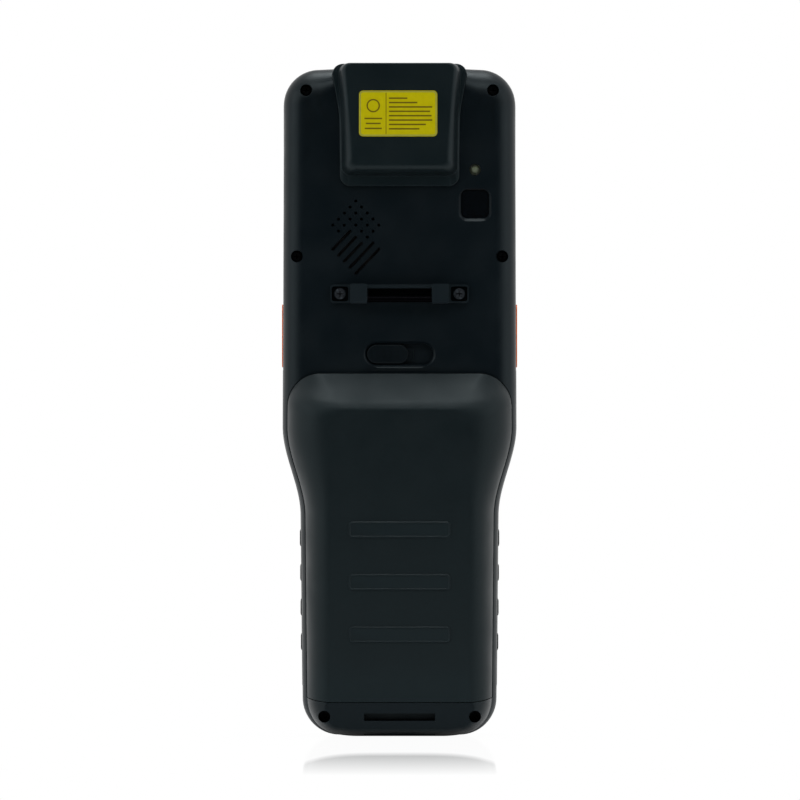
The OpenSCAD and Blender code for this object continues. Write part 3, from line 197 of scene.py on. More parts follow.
def new_piece(name: str, points: np.ndarray, faces: Sequence[Sequence[int]]) -> Piece:
    """Make an object from points in millimetres, with its faces turned outwards.

    Args:
        name: Name of the object.
        points: Its points, one row each.
        faces: Point numbers of each face.

    Returns:
        The new object, in the scene.
    """
    mesh = bpy.data.meshes.new(name)
    mesh.from_pydata([tuple(p) for p in np.asarray(points, float) * MM], [], [tuple(f) for f in faces])
    work = bmesh.new()
    work.from_mesh(mesh)
    bmesh.ops.remove_doubles(work, verts=work.verts, dist=1e-7)
    bmesh.ops.recalc_face_normals(work, faces=work.faces)
    work.to_mesh(mesh)
    work.free()
    piece = bpy.data.objects.new(name, mesh)
    bpy.context.scene.collection.objects.link(piece)
    return piece


def loft(name: str, rings: Sequence[np.ndarray], laddered: bool = False) -> Piece:
    """Skin a stack of rings and close both ends.

    Args:
        name: Name of the piece.
        rings: Rings of equal length.
        laddered: Whether the ends are closed by rungs between mirrored points, for ends that aren't flat.

    Returns:
        The closed piece.
    """
    n, m = len(rings[0]), len(rings)
    faces = [
        (k * n + i, k * n + (i + 1) % n, (k + 1) * n + (i + 1) % n, (k + 1) * n + i)
        for k in range(m - 1)
        for i in range(n)
    ]
    for base in (0, (m - 1) * n):
        if laddered:
            faces += [(base + i, base + i + 1, base + n - 2 - i, base + n - 1 - i) for i in range(n // 2 - 1)]
        else:
            faces.append(range(base, base + n))
    return new_piece(name, np.vstack(rings), faces)


def prism(name: str, outline: Outline, y0: float, y1: float) -> Piece:
    """Push an outline along Y."""
    return loft(name, [outline.ring(y0), outline.ring(y1)])


def stepped(
    name: str,
    size: Sequence[float],
    levels: Sequence[Sequence[float]],
    at: Sequence[float] = (0, 0),
    steps: int = 6,
) -> Piece:
    """Rounded plate that faces along Y, with an outline that shrinks from level to level.

    Args:
        name: Name of the piece.
        size: Width, height and corner radius of the outline.
        levels: Inset and depth of each level.
        at: Its middle along X and Z.
        steps: Segments in each corner.

    Returns:
        The closed plate.
    """
    width, height, radius = size
    rings = [
        Outline.rounded(width - 2 * inset, height - 2 * inset, radius - inset, *at, steps).ring(y)
        for inset, y in levels
    ]
    return loft(name, rings)


def slab(
    name: str, width: float, height: float, radius: float, y0: float, y1: float, x: float = 0, z: float = 0
) -> Piece:
    """Rounded plate that faces along Y, with one outline."""
    return stepped(name, (width, height, radius), ((0, y0), (0, y1)), (x, z))


def block(name: str, width: float, y0: float, y1: float, z0: float, z1: float, x: float = 0) -> Piece:
    """Straight block about an X, between two depths and two heights."""
    corners = [(at_x, y, z) for at_x in (x - width / 2, x + width / 2) for y in (y0, y1) for z in (z0, z1)]
    return new_piece(name, np.array(corners), BLOCK_FACES)


def rod(name: str, radius: float, start: Sequence[float], end: Sequence[float], sides: int = 40) -> Piece:
    """Round rod between two points.

    Args:
        name: Name of the piece.
        radius: Its radius.
        start: Middle of one end.
        end: Middle of the other end.
        sides: Facets round it.

    Returns:
        The rod.
    """
    a, b = Vector(start), Vector(end)
    across = (b - a).normalized().orthogonal().normalized()
    other = (b - a).normalized().cross(across)
    turn = np.linspace(0, 2 * math.pi, sides, endpoint=False)
    rings = [
        np.array([tuple(p + radius * (math.cos(t) * across + math.sin(t) * other)) for t in turn])
        for p in (a, b)
    ]
    return loft(name, rings)


def peg(name: str, radius: float, y0: float, y1: float, x: float, z: float, sides: int = 40) -> Piece:
    """Round rod along Y, between two depths."""
    return rod(name, radius, (x, y0, z), (x, y1, z), sides)


def band(name: str, path: np.ndarray, section: np.ndarray) -> Piece:
    """Push a section along an open path in the XZ plane.

    Args:
        name: Name of the piece.
        path: Points of the path.
        section: Points as distance out of the path and depth along Y.

    Returns:
        The closed band.
    """
    open_ended = np.vstack([path[:1], path, path[-1:]])
    rings = []
    for spot, normal in zip(path, outward(open_ended[2:] - open_ended[:-2])):
        flat = spot + section[:, :1] * normal
        rings.append(np.stack([flat[:, 0], section[:, 1], flat[:, 1]], 1))
    return loft(name, rings)


def bake(piece: Piece) -> None:
    """Apply the modifiers of a piece made here.

    Args:
        piece: The piece.
    """
    graph = bpy.context.evaluated_depsgraph_get()
    mesh = bpy.data.meshes.new_from_object(piece.evaluated_get(graph))
    old = piece.data
    piece.modifiers.clear()
    piece.data = mesh
    bpy.data.meshes.remove(old)


def merge_flat(piece: Piece) -> None:
    """Join the flat faces of a piece that only thin strips divide.

    Args:
        piece: The piece.
    """
    work = bmesh.new()
    work.from_mesh(piece.data)
    flat = math.radians(0.05)
    bmesh.ops.dissolve_limit(
        work, angle_limit=flat, verts=work.verts, edges=work.edges, use_dissolve_boundaries=False
    )
    work.to_mesh(piece.data)
    work.free()


def carve(piece: Piece, tools: Sequence[Piece], how: Carve = Carve.CUT) -> Piece:
    """Cut tools out of a piece, or add them to it, and clear the tools away.

    Args:
        piece: Piece that is worked on.
        tools: Closed pieces.
        how: What to do with them.

    Returns:
        The worked piece.
    """
    tray = bpy.data.collections.new("tools")
    bpy.context.scene.collection.children.link(tray)
    for tool in tools:
        bpy.context.scene.collection.objects.unlink(tool)
        tray.objects.link(tool)
    work = piece.modifiers.new(how.name.lower(), "BOOLEAN")
    work.operation = how.value
    work.operand_type = "COLLECTION"
    work.collection = tray
    work.solver = "EXACT"
    bake(piece)
    merge_flat(piece)
    for tool in list(tools):
        bpy.data.objects.remove(tool)
    bpy.data.collections.remove(tray)
    return piece


def joined(name: str, pieces: Sequence[Piece]) -> Piece:
    """Make one object from the meshes of several, which are cleared away.

    Args:
        name: Name of the new object.
        pieces: Pieces whose meshes it takes.

    Returns:
        The new object.
    """
    work = bmesh.new()
    for piece in pieces:
        work.from_mesh(piece.data)
    mesh = bpy.data.meshes.new(name)
    work.to_mesh(mesh)
    work.free()
    for piece in pieces:
        bpy.data.objects.remove(piece)
    made = bpy.data.objects.new(name, mesh)
    bpy.context.scene.collection.objects.link(made)
    return made


def soften(piece: Piece, width: float, segments: int = 2, angle: float = 34.0, weld: bool = False) -> Piece:
    """Round the sharp edges of a piece and shade its faces smoothly.

    Args:
        piece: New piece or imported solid; only modifiers and shading change.
        width: Width of the rounding in millimetres, or 0 for none.
        segments: Facets across the rounding.
        angle: Smallest angle of an edge that counts as sharp, in degrees.
        weld: Whether split points are joined first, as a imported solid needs.

    Returns:
        The piece.
    """
    piece.data.polygons.foreach_set("use_smooth", [True] * len(piece.data.polygons))
    if weld:
        join = piece.modifiers.new("join", "WELD")
        join.merge_threshold = 0.002 * MM
    if width:
        rounding = piece.modifiers.new("edge_round", "BEVEL")
        rounding.width = width * MM
        rounding.segments = segments
        rounding.limit_method = "ANGLE"
        rounding.angle_limit = math.radians(angle)
        rounding.use_clamp_overlap = True
        rounding.miter_outer = "MITER_ARC"
    shade = piece.modifiers.new("shade", "WEIGHTED_NORMAL")
    shade.mode = "FACE_AREA"
    shade.weight = 60
    shade.keep_sharp = False
    return piece


# ---------------------------------------------------------------- finishes


def srgb(red: int, green: int, blue: int) -> Colour:
    """Linear colour from display values of 0 to 255."""
    made = [c / 255 for c in (red, green, blue)]
    return tuple(c / 12.92 if c <= 0.04045 else ((c + 0.055) / 1.055) ** 2.4 for c in made)


def scaled(colour: Colour, factor: float) -> tuple[float, float, float, float]:
    """The colour made lighter or darker, with full cover."""
    return (*(min(1.0, c * factor) for c in colour), 1.0)


class NodeSheet:
    """The node tree of a material or a world, with short calls to fill it."""

    def __init__(self, holder: bpy.types.Material | bpy.types.World) -> None:
        """Start an empty tree.

        Args:
            holder: Material or world that the tree belongs to.
        """
        holder.use_nodes = True
        self.tree = holder.node_tree
        self.tree.nodes.clear()

    def node(
        self, kind: str, feeds: dict[str | int, object] | None = None, **settings: object
    ) -> bpy.types.Node:
        """Add a node.

        Args:
            kind: Blender's name of its type, without the first part.
            feeds: For each input that is used, a socket to link or a fixed value.
            settings: The node's own properties.

        Returns:
            The new node.
        """
        made = self.tree.nodes.new(f"ShaderNode{kind}")
        for key, value in settings.items():
            setattr(made, key, value)
        for key, value in (feeds or {}).items():
            self.feed(made.inputs[key], value)
        return made

    def feed(self, end: Socket, value: object) -> None:
        """Link an input to a socket, or set it to a fixed value.

        Args:
            end: The input.
            value: The socket or the value.
        """
        if isinstance(value, Socket):
            self.tree.links.new(value, end)
        else:
            end.default_value = value

    def ranged(
        self, value: Socket, low: float, high: float, start: float = 0.3, end: float = 0.7, **settings: object
    ) -> Socket:
        """Spread a value from one range to another."""
        feeds = {"Value": value, "From Min": start, "From Max": end, "To Min": low, "To Max": high}
        return self.node("MapRange", feeds, **settings).outputs[0]

    def math(self, how: str, first: object, second: object = 0.0) -> Socket:
        """One step of arithmetic between sockets or numbers."""
        return self.node("Math", {0: first, 1: second}, operation=how).outputs[0]

    def mixed(self, factor: Socket, first: Socket, second: Socket) -> Socket:
        """Mix two shaders by a factor."""
        return self.node("MixShader", {0: factor, 1: first, 2: second}).outputs[0]


class MaterialSheet(NodeSheet):
    """The node tree of one new material, which holds a shader from the start."""

    def __init__(self, name: str) -> None:
        """Start a material with its shader and output.

        Args:
            name: Name of the material.
        """
        self.material = bpy.data.materials.new(name)
        super().__init__(self.material)
        self.shader = self.node("BsdfPrincipled")
        self.output = self.node("OutputMaterial", {0: self.shader.outputs[0]})
        self.place = self.node("TexCoord").outputs["Object"]

    def noise(
        self, size: float, detail: float = 2.0, stretch: Sequence[float] = (1, 1, 1), roughness: float = 0.5
    ) -> Socket:
        """Noise whose grains are about a size in millimetres.

        Args:
            size: Size of a grain.
            detail: Octaves.
            stretch: How often the grain repeats along each axis, against the others.
            roughness: Share of the finer octaves.

        Returns:
            The noise's value.
        """
        spread = self.node("Mapping", {"Vector": self.place, "Scale": [s / (size * MM) for s in stretch]})
        feeds = {"Vector": spread.outputs[0], "Scale": 1.0, "Detail": detail, "Roughness": roughness}
        return self.node("TexNoise", feeds).outputs[0]

    def blend(self, factor: Socket, first: object, second: object) -> Socket:
        """Mix two colours, each a fixed one or a socket, by a factor."""
        return self.node("Mix", {0: factor, 6: first, 7: second}, data_type="RGBA").outputs[2]

    def tones(self, factor: Socket, colour: Colour, first: float, second: float) -> Socket:
        """Mix two tones of a colour, each given as its share of the colour's brightness."""
        return self.blend(factor, scaled(colour, first), scaled(colour, second))

    def distance(self, spot: Sequence[float], axes: Sequence[float]) -> Socket:
        """Distance from a spot, counted along some axes.

        Args:
            spot: The spot, in metres.
            axes: 1 for each axis that counts and 0 for the others.

        Returns:
            The distance in metres.
        """
        apart = self.node("VectorMath", {0: self.place, 1: spot}, operation="SUBTRACT")
        kept = self.node("VectorMath", {0: apart.outputs[0], 1: axes}, operation="MULTIPLY")
        return self.node("VectorMath", {0: kept.outputs[0]}, operation="LENGTH").outputs["Value"]

    def bump(self, height: Socket, depth: float, strength: float = 1.0) -> None:
        """Give the shader a relief with a depth in millimetres."""
        relief = self.node("Bump", {"Height": height, "Distance": depth * MM, "Strength": strength})
        self.feed(self.shader.inputs["Normal"], relief.outputs[0])

    def rubbed(self, amount: float) -> Socket:
        """How far an outer edge is rubbed lighter, from 0 to an amount."""
        return self.ranged(self.node("NewGeometry").outputs["Pointiness"], 0.0, amount, 0.52, 0.62)

    def coat(self, colour: object, roughness: object, **values: object) -> bpy.types.Material:
        """Set the shader's own sockets.

        Args:
            colour: Socket or value of the base colour.
            roughness: Socket or value of the roughness.
            values: Values of other sockets, by name; an underscore stands for a space.

        Returns:
            The material.
        """
        for key, value in {"Base_Color": colour, "Roughness": roughness, **values}.items():
            self.feed(self.shader.inputs[key.replace("_", " ")], value)
        return self.material


@dataclass(frozen=True)
class Finish:
    """A finish that every piece of one kind shares."""

    name: str
    colour: Colour

    def material(self) -> bpy.types.Material:
        """The finish's material, made once."""
        return bpy.data.materials.get(self.name) or self.mix(MaterialSheet(self.name))

    def mix(self, sheet: MaterialSheet) -> bpy.types.Material:
        """Fill the node sheet and return its material."""
        raise NotImplementedError

    def dress(self, piece: Piece) -> None:
        """Put the finish on a piece.

        Args:
            piece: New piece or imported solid.
        """
        if not piece.data.materials:
            piece.data.materials.append(self.material())
            return
        for slot in piece.material_slots:
            slot.link = "OBJECT"
            slot.material = self.material()


@dataclass(frozen=True)
class MouldedPlastic(Finish):
    """Spark-textured moulding with faint clouding and edges rubbed lighter."""

    roughness: float = 0.36
    grain: float = 0.32
    depth: float = 0.01
    cloud: float = 22.0
    clouding: float = 0.07
    smear: float = 9.0
    uneven: float = 0.05
    wear: float = 0.2
    specular: float = 0.22
    sheen: Colour = (0.8, 0.96, 1.0)

    def mix(self, sheet: MaterialSheet) -> bpy.types.Material:
        """Cloud the body, speckle it and lighten its edges, over a fine grain.

        Args:
            sheet: The new material's nodes.

        Returns:
            The material.
        """
        cloud = sheet.ranged(sheet.noise(self.cloud, 3), 0, 1)
        body = sheet.tones(cloud, self.colour, 1 - self.clouding, 1 + self.clouding)
        speck = sheet.ranged(sheet.noise(self.grain * 1.6, 1), 0, 0.16)
        body = sheet.blend(speck, body, scaled(self.colour, 1.9))
        body = sheet.blend(sheet.rubbed(self.wear), body, scaled(self.colour, 2.6))
        smear = sheet.noise(self.smear, 2)
        rough = sheet.ranged(smear, self.roughness - self.uneven, self.roughness + self.uneven)
        sheet.bump(sheet.noise(self.grain, 2, roughness=0.65), self.depth)
        return sheet.coat(body, rough, Specular_IOR_Level=self.specular, Specular_Tint=(*self.sheen, 1))


@dataclass(frozen=True)
class MouldedRubber(Finish):
    """Soft rubber with a dull, slightly dusty surface."""

    roughness: float = 0.78
    grain: float = 0.18
    depth: float = 0.01

    def mix(self, sheet: MaterialSheet) -> bpy.types.Material:
        """Dust the body and dull it unevenly.

        Args:
            sheet: The new material's nodes.

        Returns:
            The material.
        """
        dust = sheet.ranged(sheet.noise(4, 4, roughness=0.7), 0, 0.22, 0.45, 0.75)
        rough = sheet.ranged(sheet.noise(6), self.roughness - 0.06, self.roughness + 0.06)
        sheet.bump(sheet.noise(self.grain, 2), self.depth)
        body = sheet.tones(dust, self.colour, 1, 1.8)
        return sheet.coat(body, rough, Specular_IOR_Level=0.3, Sheen_Weight=0.08, Sheen_Roughness=0.4)


@dataclass(frozen=True)
class Glass(Finish):
    """Dark cover glass with faint smears; a pale area may show through it."""

    smear: float = 0.06
    area: tuple[float, float, float, float] | None = None

    def mix(self, sheet: MaterialSheet) -> bpy.types.Material:
        """Smear the glass and show its area.

        Args:
            sheet: The new material's nodes.

        Returns:
            The material.
        """
        spots = sheet.noise(14, 5, roughness=0.7)
        tint = sheet.tones(sheet.ranged(spots, 0, 0.3), self.colour, 1, 1.7)
        if self.area:
            tint = sheet.blend(self.inside(sheet), tint, scaled(self.colour, 2.6))
        rough = sheet.ranged(spots, 0.03, 0.03 + self.smear)
        return sheet.coat(tint, rough, IOR=1.5, Coat_Weight=0.3, Coat_Roughness=0.02)

    def inside(self, sheet: MaterialSheet) -> Socket:
        """Mask of the area, whose middle and half sizes are given in millimetres.

        Args:
            sheet: The new material's nodes.

        Returns:
            1 inside the area and 0 outside.
        """
        apart = sheet.node("SeparateXYZ", {0: sheet.place})
        masks = []
        for socket, middle, half in (("X", *self.area[::2]), ("Z", *self.area[1::2])):
            off = sheet.math("ABSOLUTE", sheet.math("SUBTRACT", apart.outputs[socket], middle * MM))
            masks.append(sheet.math("LESS_THAN", off, half * MM))
        return sheet.math("MULTIPLY", *masks)


@dataclass(frozen=True)
class PressedMetal(Finish):
    """Metal with drawing marks along one way."""

    roughness: float = 0.35
    stretch: tuple[float, float, float] = (0.05, 1, 1)
    grain: float = 0.12
    depth: float = 0.004

    def mix(self, sheet: MaterialSheet) -> bpy.types.Material:
        """Draw the marks into colour, roughness and relief.

        Args:
            sheet: The new material's nodes.

        Returns:
            The material.
        """
        marks = sheet.noise(self.grain, 3, self.stretch)
        sheet.bump(marks, self.depth, 0.6)
        body = sheet.tones(sheet.ranged(marks, 0, 1), self.colour, 0.82, 1.12)
        rough = sheet.ranged(marks, self.roughness - 0.08, self.roughness + 0.1)
        return sheet.coat(body, rough, Metallic=1.0)


@dataclass(frozen=True)
class BlackedSteel(Finish):
    """Blackened screw steel, brighter where a driver has rubbed it."""

    shine: float = 0.5

    def mix(self, sheet: MaterialSheet) -> bpy.types.Material:
        """Scratch the blacking and rub its edges bright.

        Args:
            sheet: The new material's nodes.

        Returns:
            The material.
        """
        scratch = sheet.noise(0.15, 4, roughness=0.7)
        body = sheet.tones(sheet.ranged(scratch, 0, 0.5, 0.4, 0.75), self.colour, 1, 3)
        body = sheet.blend(sheet.rubbed(0.5), body, scaled(self.colour, 6))
        sheet.bump(scratch, 0.006)
        return sheet.coat(body, sheet.ranged(scratch, 0.3, 0.5), Metallic=0.7, Specular_IOR_Level=self.shine)


@dataclass(frozen=True)
class PrintedFilm(Finish):
    """Printed plastic film with a slight orange-peel and uneven ink."""

    roughness: float = 0.34
    specular: float = 0.2

    def mix(self, sheet: MaterialSheet) -> bpy.types.Material:
        """Vary the ink a little, over a faint orange-peel.

        Args:
            sheet: The new material's nodes.

        Returns:
            The material.
        """
        ink = sheet.noise(1.4, 4, roughness=0.6)
        rough = sheet.ranged(ink, self.roughness - 0.05, self.roughness + 0.07)
        sheet.bump(sheet.noise(0.7, 2), 0.006)
        body = sheet.tones(sheet.ranged(ink, 0, 1), self.colour, 0.93, 1.04)
        return sheet.coat(body, rough, Specular_IOR_Level=self.specular)


@dataclass(frozen=True)
class MilkyPlastic(Finish):
    """Cloudy plastic of the flash and the status light; a pale patch may show through it."""

    patch: tuple[float, float, float] | None = None

    def mix(self, sheet: MaterialSheet) -> bpy.types.Material:
        """Cloud the body and show its patch.

        Args:
            sheet: The new material's nodes.

        Returns:
            The material.
        """
        milk = sheet.noise(0.5, 3)
        body = sheet.tones(sheet.ranged(milk, 0, 1), self.colour, 0.75, 1.15)
        if self.patch:
            x, z, radius = (size * MM for size in self.patch)
            rim = sheet.ranged(sheet.distance((x, 0, z), (1, 0, 1)), 0, 1, radius * 0.45, radius)
            body = sheet.blend(rim, body, scaled(self.colour, 0.12))
        sheet.bump(sheet.noise(0.3), 0.01)
        return sheet.coat(
            body, sheet.ranged(milk, 0.15, 0.3), Subsurface_Weight=0.2, Coat_Weight=0.4,
            Subsurface_Radius=(0.001, 0.001, 0.0006),
        )


@dataclass(frozen=True)
class WovenMesh(Finish):
    """Plain-woven cloth behind the grille."""

    pitch: float = 0.18

    def mix(self, sheet: MaterialSheet) -> bpy.types.Material:
        """Cross two waves into a weave.

        Args:
            sheet: The new material's nodes.

        Returns:
            The material.
        """
        feeds = {"Vector": sheet.place, "Scale": 0.314 / (self.pitch * MM), "Distortion": 0.4}
        weave = sheet.math(
            "MULTIPLY", *(sheet.node("TexWave", feeds, bands_direction=way).outputs[1] for way in ("X", "Z"))
        )
        sheet.bump(weave, 0.03)
        return sheet.coat(sheet.tones(weave, self.colour, 0.4, 1.6), 0.8, Sheen_Weight=0.2)


@dataclass(frozen=True)
class CircuitBoard(Finish):
    """Solder mask with tracks under it."""

    def mix(self, sheet: MaterialSheet) -> bpy.types.Material:
        """Lay the tracks as thin joints between bricks.

        Args:
            sheet: The new material's nodes.

        Returns:
            The material.
        """
        turn = {"Vector": sheet.place, "Rotation": (math.pi / 2, 0, 0), "Scale": (320, 320, 320)}
        feeds = {
            "Vector": sheet.node("Mapping", turn).outputs[0], "Color1": (0, 0, 0, 1),
            "Color2": (0.1, 0.1, 0.1, 1), "Mortar": (1, 1, 1, 1), "Mortar Size": 0.04,
        }
        tracks = sheet.node("TexBrick", feeds)
        sheet.bump(tracks.outputs[1], 0.02)
        body = sheet.tones(tracks.outputs[0], self.colour, 1, 2.2)
        return sheet.coat(body, sheet.ranged(sheet.noise(3), 0.25, 0.4), Coat_Weight=0.3)


FINISH_OF_SLOT: dict[str, Finish] = {
    "casing_plastic": MouldedPlastic("casing_charcoal", srgb(6, 12, 16)),
    "cover_plastic": MouldedPlastic("cover_charcoal", srgb(8, 17, 20), 0.48),
    "scan_plastic": MouldedPlastic("scan_charcoal", srgb(13, 22, 25), 0.4),
    "bracket_plastic": MouldedPlastic("bracket_charcoal", srgb(15, 22, 26), 0.4),
    "latch_plastic": MouldedPlastic("latch_black", srgb(4, 9, 13), 0.42, specular=0.16),
    "inner_plastic": MouldedPlastic("inner_dark", srgb(70, 71, 74), wear=0.1),
    "panel_plastic": MouldedPlastic("panel_dark", srgb(30, 31, 34), wear=0.0),
    "key_orange": MouldedPlastic("moulded_orange", srgb(232, 104, 30), 0.45, clouding=0.03, wear=0.1),
    "key_dark": MouldedPlastic("moulded_graphite", srgb(58, 62, 66), 0.42, wear=0.15),
    "key_grey": MouldedPlastic("moulded_grey", srgb(150, 154, 158), 0.42, clouding=0.03, wear=0.05),
    "key_silver": MouldedPlastic("moulded_silver", srgb(186, 188, 190), 0.38, clouding=0.03, wear=0.05),
    "trim_rubber": MouldedRubber("trim_black", srgb(26, 28, 30)),
    "seal_rubber": MouldedRubber("seal_grey", srgb(120, 122, 122)),
    "flap_rubber": MouldedRubber("flap_black", srgb(28, 30, 32), 0.7),
    "mat_rubber": MouldedRubber("mat_grey", srgb(90, 90, 90)),
    "scan_glass": Glass("scan_window_red", srgb(60, 8, 12), 0.04),
    "camera_glass": Glass("camera_window_black", srgb(3, 6, 9), 0.03),
    "display_glass": Glass("display_black", srgb(7, 8, 10), 0.05, (0.0, 136.5, 25.2, 35.75)),
    "engine_metal": PressedMetal("engine_alloy", (0.32, 0.33, 0.35), 0.45, (1, 1, 1)),
    "inner_metal": PressedMetal("pressed_steel", (0.6, 0.6, 0.62)),
    "plate_steel": PressedMetal("latch_plate_steel", (0.55, 0.55, 0.57), 0.3),
    "contact_brass": PressedMetal("contact_plate", (0.72, 0.52, 0.2), 0.28, (1, 1, 1)),
    "pin_steel": BlackedSteel("pin_black", srgb(1, 1, 2), 0.05),
    "screw_steel": BlackedSteel("screw_black", srgb(3, 4, 5), 0.15),
    "label_yellow": PrintedFilm("printed_yellow", srgb(188, 177, 3)),
    "battery_wrap": PrintedFilm("battery_film", srgb(66, 68, 72), 0.4),
    "flash_plastic": MilkyPlastic("flash_milk", srgb(106, 113, 94), (21.3, 160.2, 1.1)),
    "mesh_fabric": WovenMesh("speaker_cloth", srgb(22, 22, 24)),
    "board_green": CircuitBoard("solder_mask_green", srgb(14, 64, 40)),
}
INK = PrintedFilm("label_ink", srgb(104, 88, 6), 0.5)
INK_PALE = PrintedFilm("label_rim", srgb(150, 150, 66), 0.5)
INK_DARK = PrintedFilm("key_legend_dark", srgb(30, 32, 34), 0.5)
LIGHT_PIPE = MilkyPlastic("light_pipe_milk", srgb(120, 124, 120))
SCREW_RUBBED = BlackedSteel("screw_rubbed", srgb(34, 38, 42))
# Near-black finish that paints the shade of the strap bracket's pocket behind its pin and of its ears' sunk
# faces.
PAINTED_SHADE = MouldedPlastic("painted_shade_black", srgb(1, 2, 3), wear=0.0, specular=0.06)


# ---------------------------------------------------------------- sizes that everything shares


@dataclass(frozen=True)
class Plan:
    """Main sizes of the casing, from which each sub-assembly takes its place."""

    total_len: float = 190.0
    total_depth: float = 36.5
    head_t: float = 25.0
    head_w: float = 65.5
    head_flare: float = 0.3
    grip_w: float = 55.9
    grip_taper: float = 0.5
    waist_top: float = 87.5
    waist_bot: float = 62.5
    crown_drop: float = 0.8
    crown_h: float = 0.6
    top_r: float = 10.0
    foot_r: float = 10.5
    foot_rise: float = 0.4
    foot_flat: float = 12.0
    part_d: float = 11.0
    back_r: float = 6.0
    front_r: float = 2.5
    wall: float = 2.0
    bumper_lip: float = 1.6
    face_t: float = 2.0
    seat_gap: float = 0.05
    cover_seat: float = 2.15
    cover_sink: float = 0.6
    cover_gap: float = 0.2
    cover_taper: float = 3.65
    plat_w: float = 39.0
    step_z: float = 114.0
    bay_d: float = 6.95
    floor_t: float = 1.6
    side_d: float = 4.0

    @property
    def front_y(self) -> float:
        """Plane of the bumper's front."""
        return self.total_depth / 2

    @property
    def face_y(self) -> float:
        """Plane of the keypad's face."""
        return self.front_y - self.bumper_lip

    @property
    def inner_y(self) -> float:
        """Inner plane of the front face."""
        return self.face_y - self.face_t

    @property
    def part_y(self) -> float:
        """Plane where the two shells meet."""
        return self.front_y - self.part_d

    @property
    def back_y(self) -> float:
        """Plane of the head's back."""
        return self.front_y - self.head_t

    @property
    def seat_y(self) -> float:
        """Plane of the battery cover's lit edge."""
        return self.back_y + self.cover_seat

    @property
    def land_y(self) -> float:
        """Plane that the battery cover rests on."""
        return self.seat_y + self.cover_sink + self.cover_gap

    @property
    def cover_b(self) -> float:
        """Greatest depth of the cover behind its seat."""
        return self.seat_y + self.total_depth / 2

    @property
    def foot_b(self) -> float:
        """Depth of the foot behind the cover's seat."""
        return self.cover_b - self.cover_taper

    @property
    def foot_y(self) -> float:
        """Plane of the foot's back."""
        return self.seat_y - self.foot_b

    @property
    def bay_y(self) -> float:
        """Floor of the battery bay."""
        return self.back_y + self.bay_d

    @property
    def cell_y(self) -> float:
        """Inner side of the bay's floor."""
        return self.bay_y + self.floor_t

    @property
    def side_y(self) -> float:
        """Middle of the features in the flanks."""
        return self.part_y - self.side_d

    @property
    def crown_z(self) -> float:
        """Height of the crown's middle."""
        return self.total_len - self.crown_drop

    def half_width(self, z: float | np.ndarray) -> np.ndarray:
        """Half width of the casing: flared in the head, narrow in the grip and eased between them.

        Args:
            z: Height, or several.

        Returns:
            The half width at each height.
        """
        z = np.asarray(z, float)
        wide, narrow, side = self.head_w / 2, self.grip_w / 2, self.crown_z - self.top_r
        head = wide + self.head_flare * (side - z) / (side - self.waist_top)
        rise = smooth((z - self.waist_bot) / (self.waist_top - self.waist_bot))
        waist = narrow + (wide + self.head_flare - narrow) * rise
        grip = narrow - self.grip_taper * (self.waist_bot - z) / (self.waist_bot - self.foot_r)
        return np.where(z >= self.waist_top, head, np.where(z >= self.waist_bot, waist, grip))

    def casing(self) -> Outline:
        """The casing's outline, from the crown round the foot.

        Returns:
            The outline.
        """
        flat = self.head_w / 2 - self.top_r
        x = flat * (2 * np.arange(1, 9) - 1) / 16
        crown = np.stack([x, self.crown_z - self.crown_h * (x / flat) ** 2], 1)
        corner = arc(flat, self.crown_z - self.crown_h - self.top_r, self.top_r, 90, 0, 16)
        low = self.foot_r + self.foot_rise
        grip = np.linspace(self.waist_bot, low, 8)[1:-1]
        z = np.concatenate([np.linspace(170, 100, 5), np.linspace(self.waist_top, self.waist_bot, 31), grip])
        flank = np.stack([self.half_width(z), z], 1)
        foot = arc(float(self.half_width(self.foot_r)) - self.foot_r, low, self.foot_r, 0, -90, 16)
        end = foot[-1, 0]
        x = np.linspace(end, self.foot_flat, 6)[1:]
        edge = np.stack([x, self.foot_rise * ((x - self.foot_flat) / (end - self.foot_flat)) ** 2], 1)
        return Outline.mirrored(np.vstack([crown, corner, flank, foot, edge]))


@dataclass
class SubAssembly:
    """A group of pieces that is built and dressed together."""

    plan: Plan
    made: list[Piece] = field(default_factory=list, init=False)

    def add(
        self, piece: Piece, slot: str, body: str = FIXED, stands_for: Sequence[str] = (),
        finish: Finish | None = None,
    ) -> Piece:
        """Dress a new piece and tie it to its body.

        Args:
            piece: The finished mesh.
            slot: Material slot of the record that it belongs to.
            body: Body that it rides on.
            stands_for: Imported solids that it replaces.
            finish: Finish, where it isn't the slot's own.

        Returns:
            The piece.
        """
        (finish or FINISH_OF_SLOT[slot]).dress(piece)
        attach(piece, body)
        if stands_for:
            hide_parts(*stands_for)
        self.made.append(piece)
        return piece

    def build(self) -> None:
        """Make the pieces of the sub-assembly."""
        raise NotImplementedError

    def report(self) -> None:
        """Log what was made."""
        for piece in self.made:
            LOG.info("%s: %s, %d faces", type(self).__name__, piece.name, len(piece.data.polygons))


# ---------------------------------------------------------------- battery cover and latch


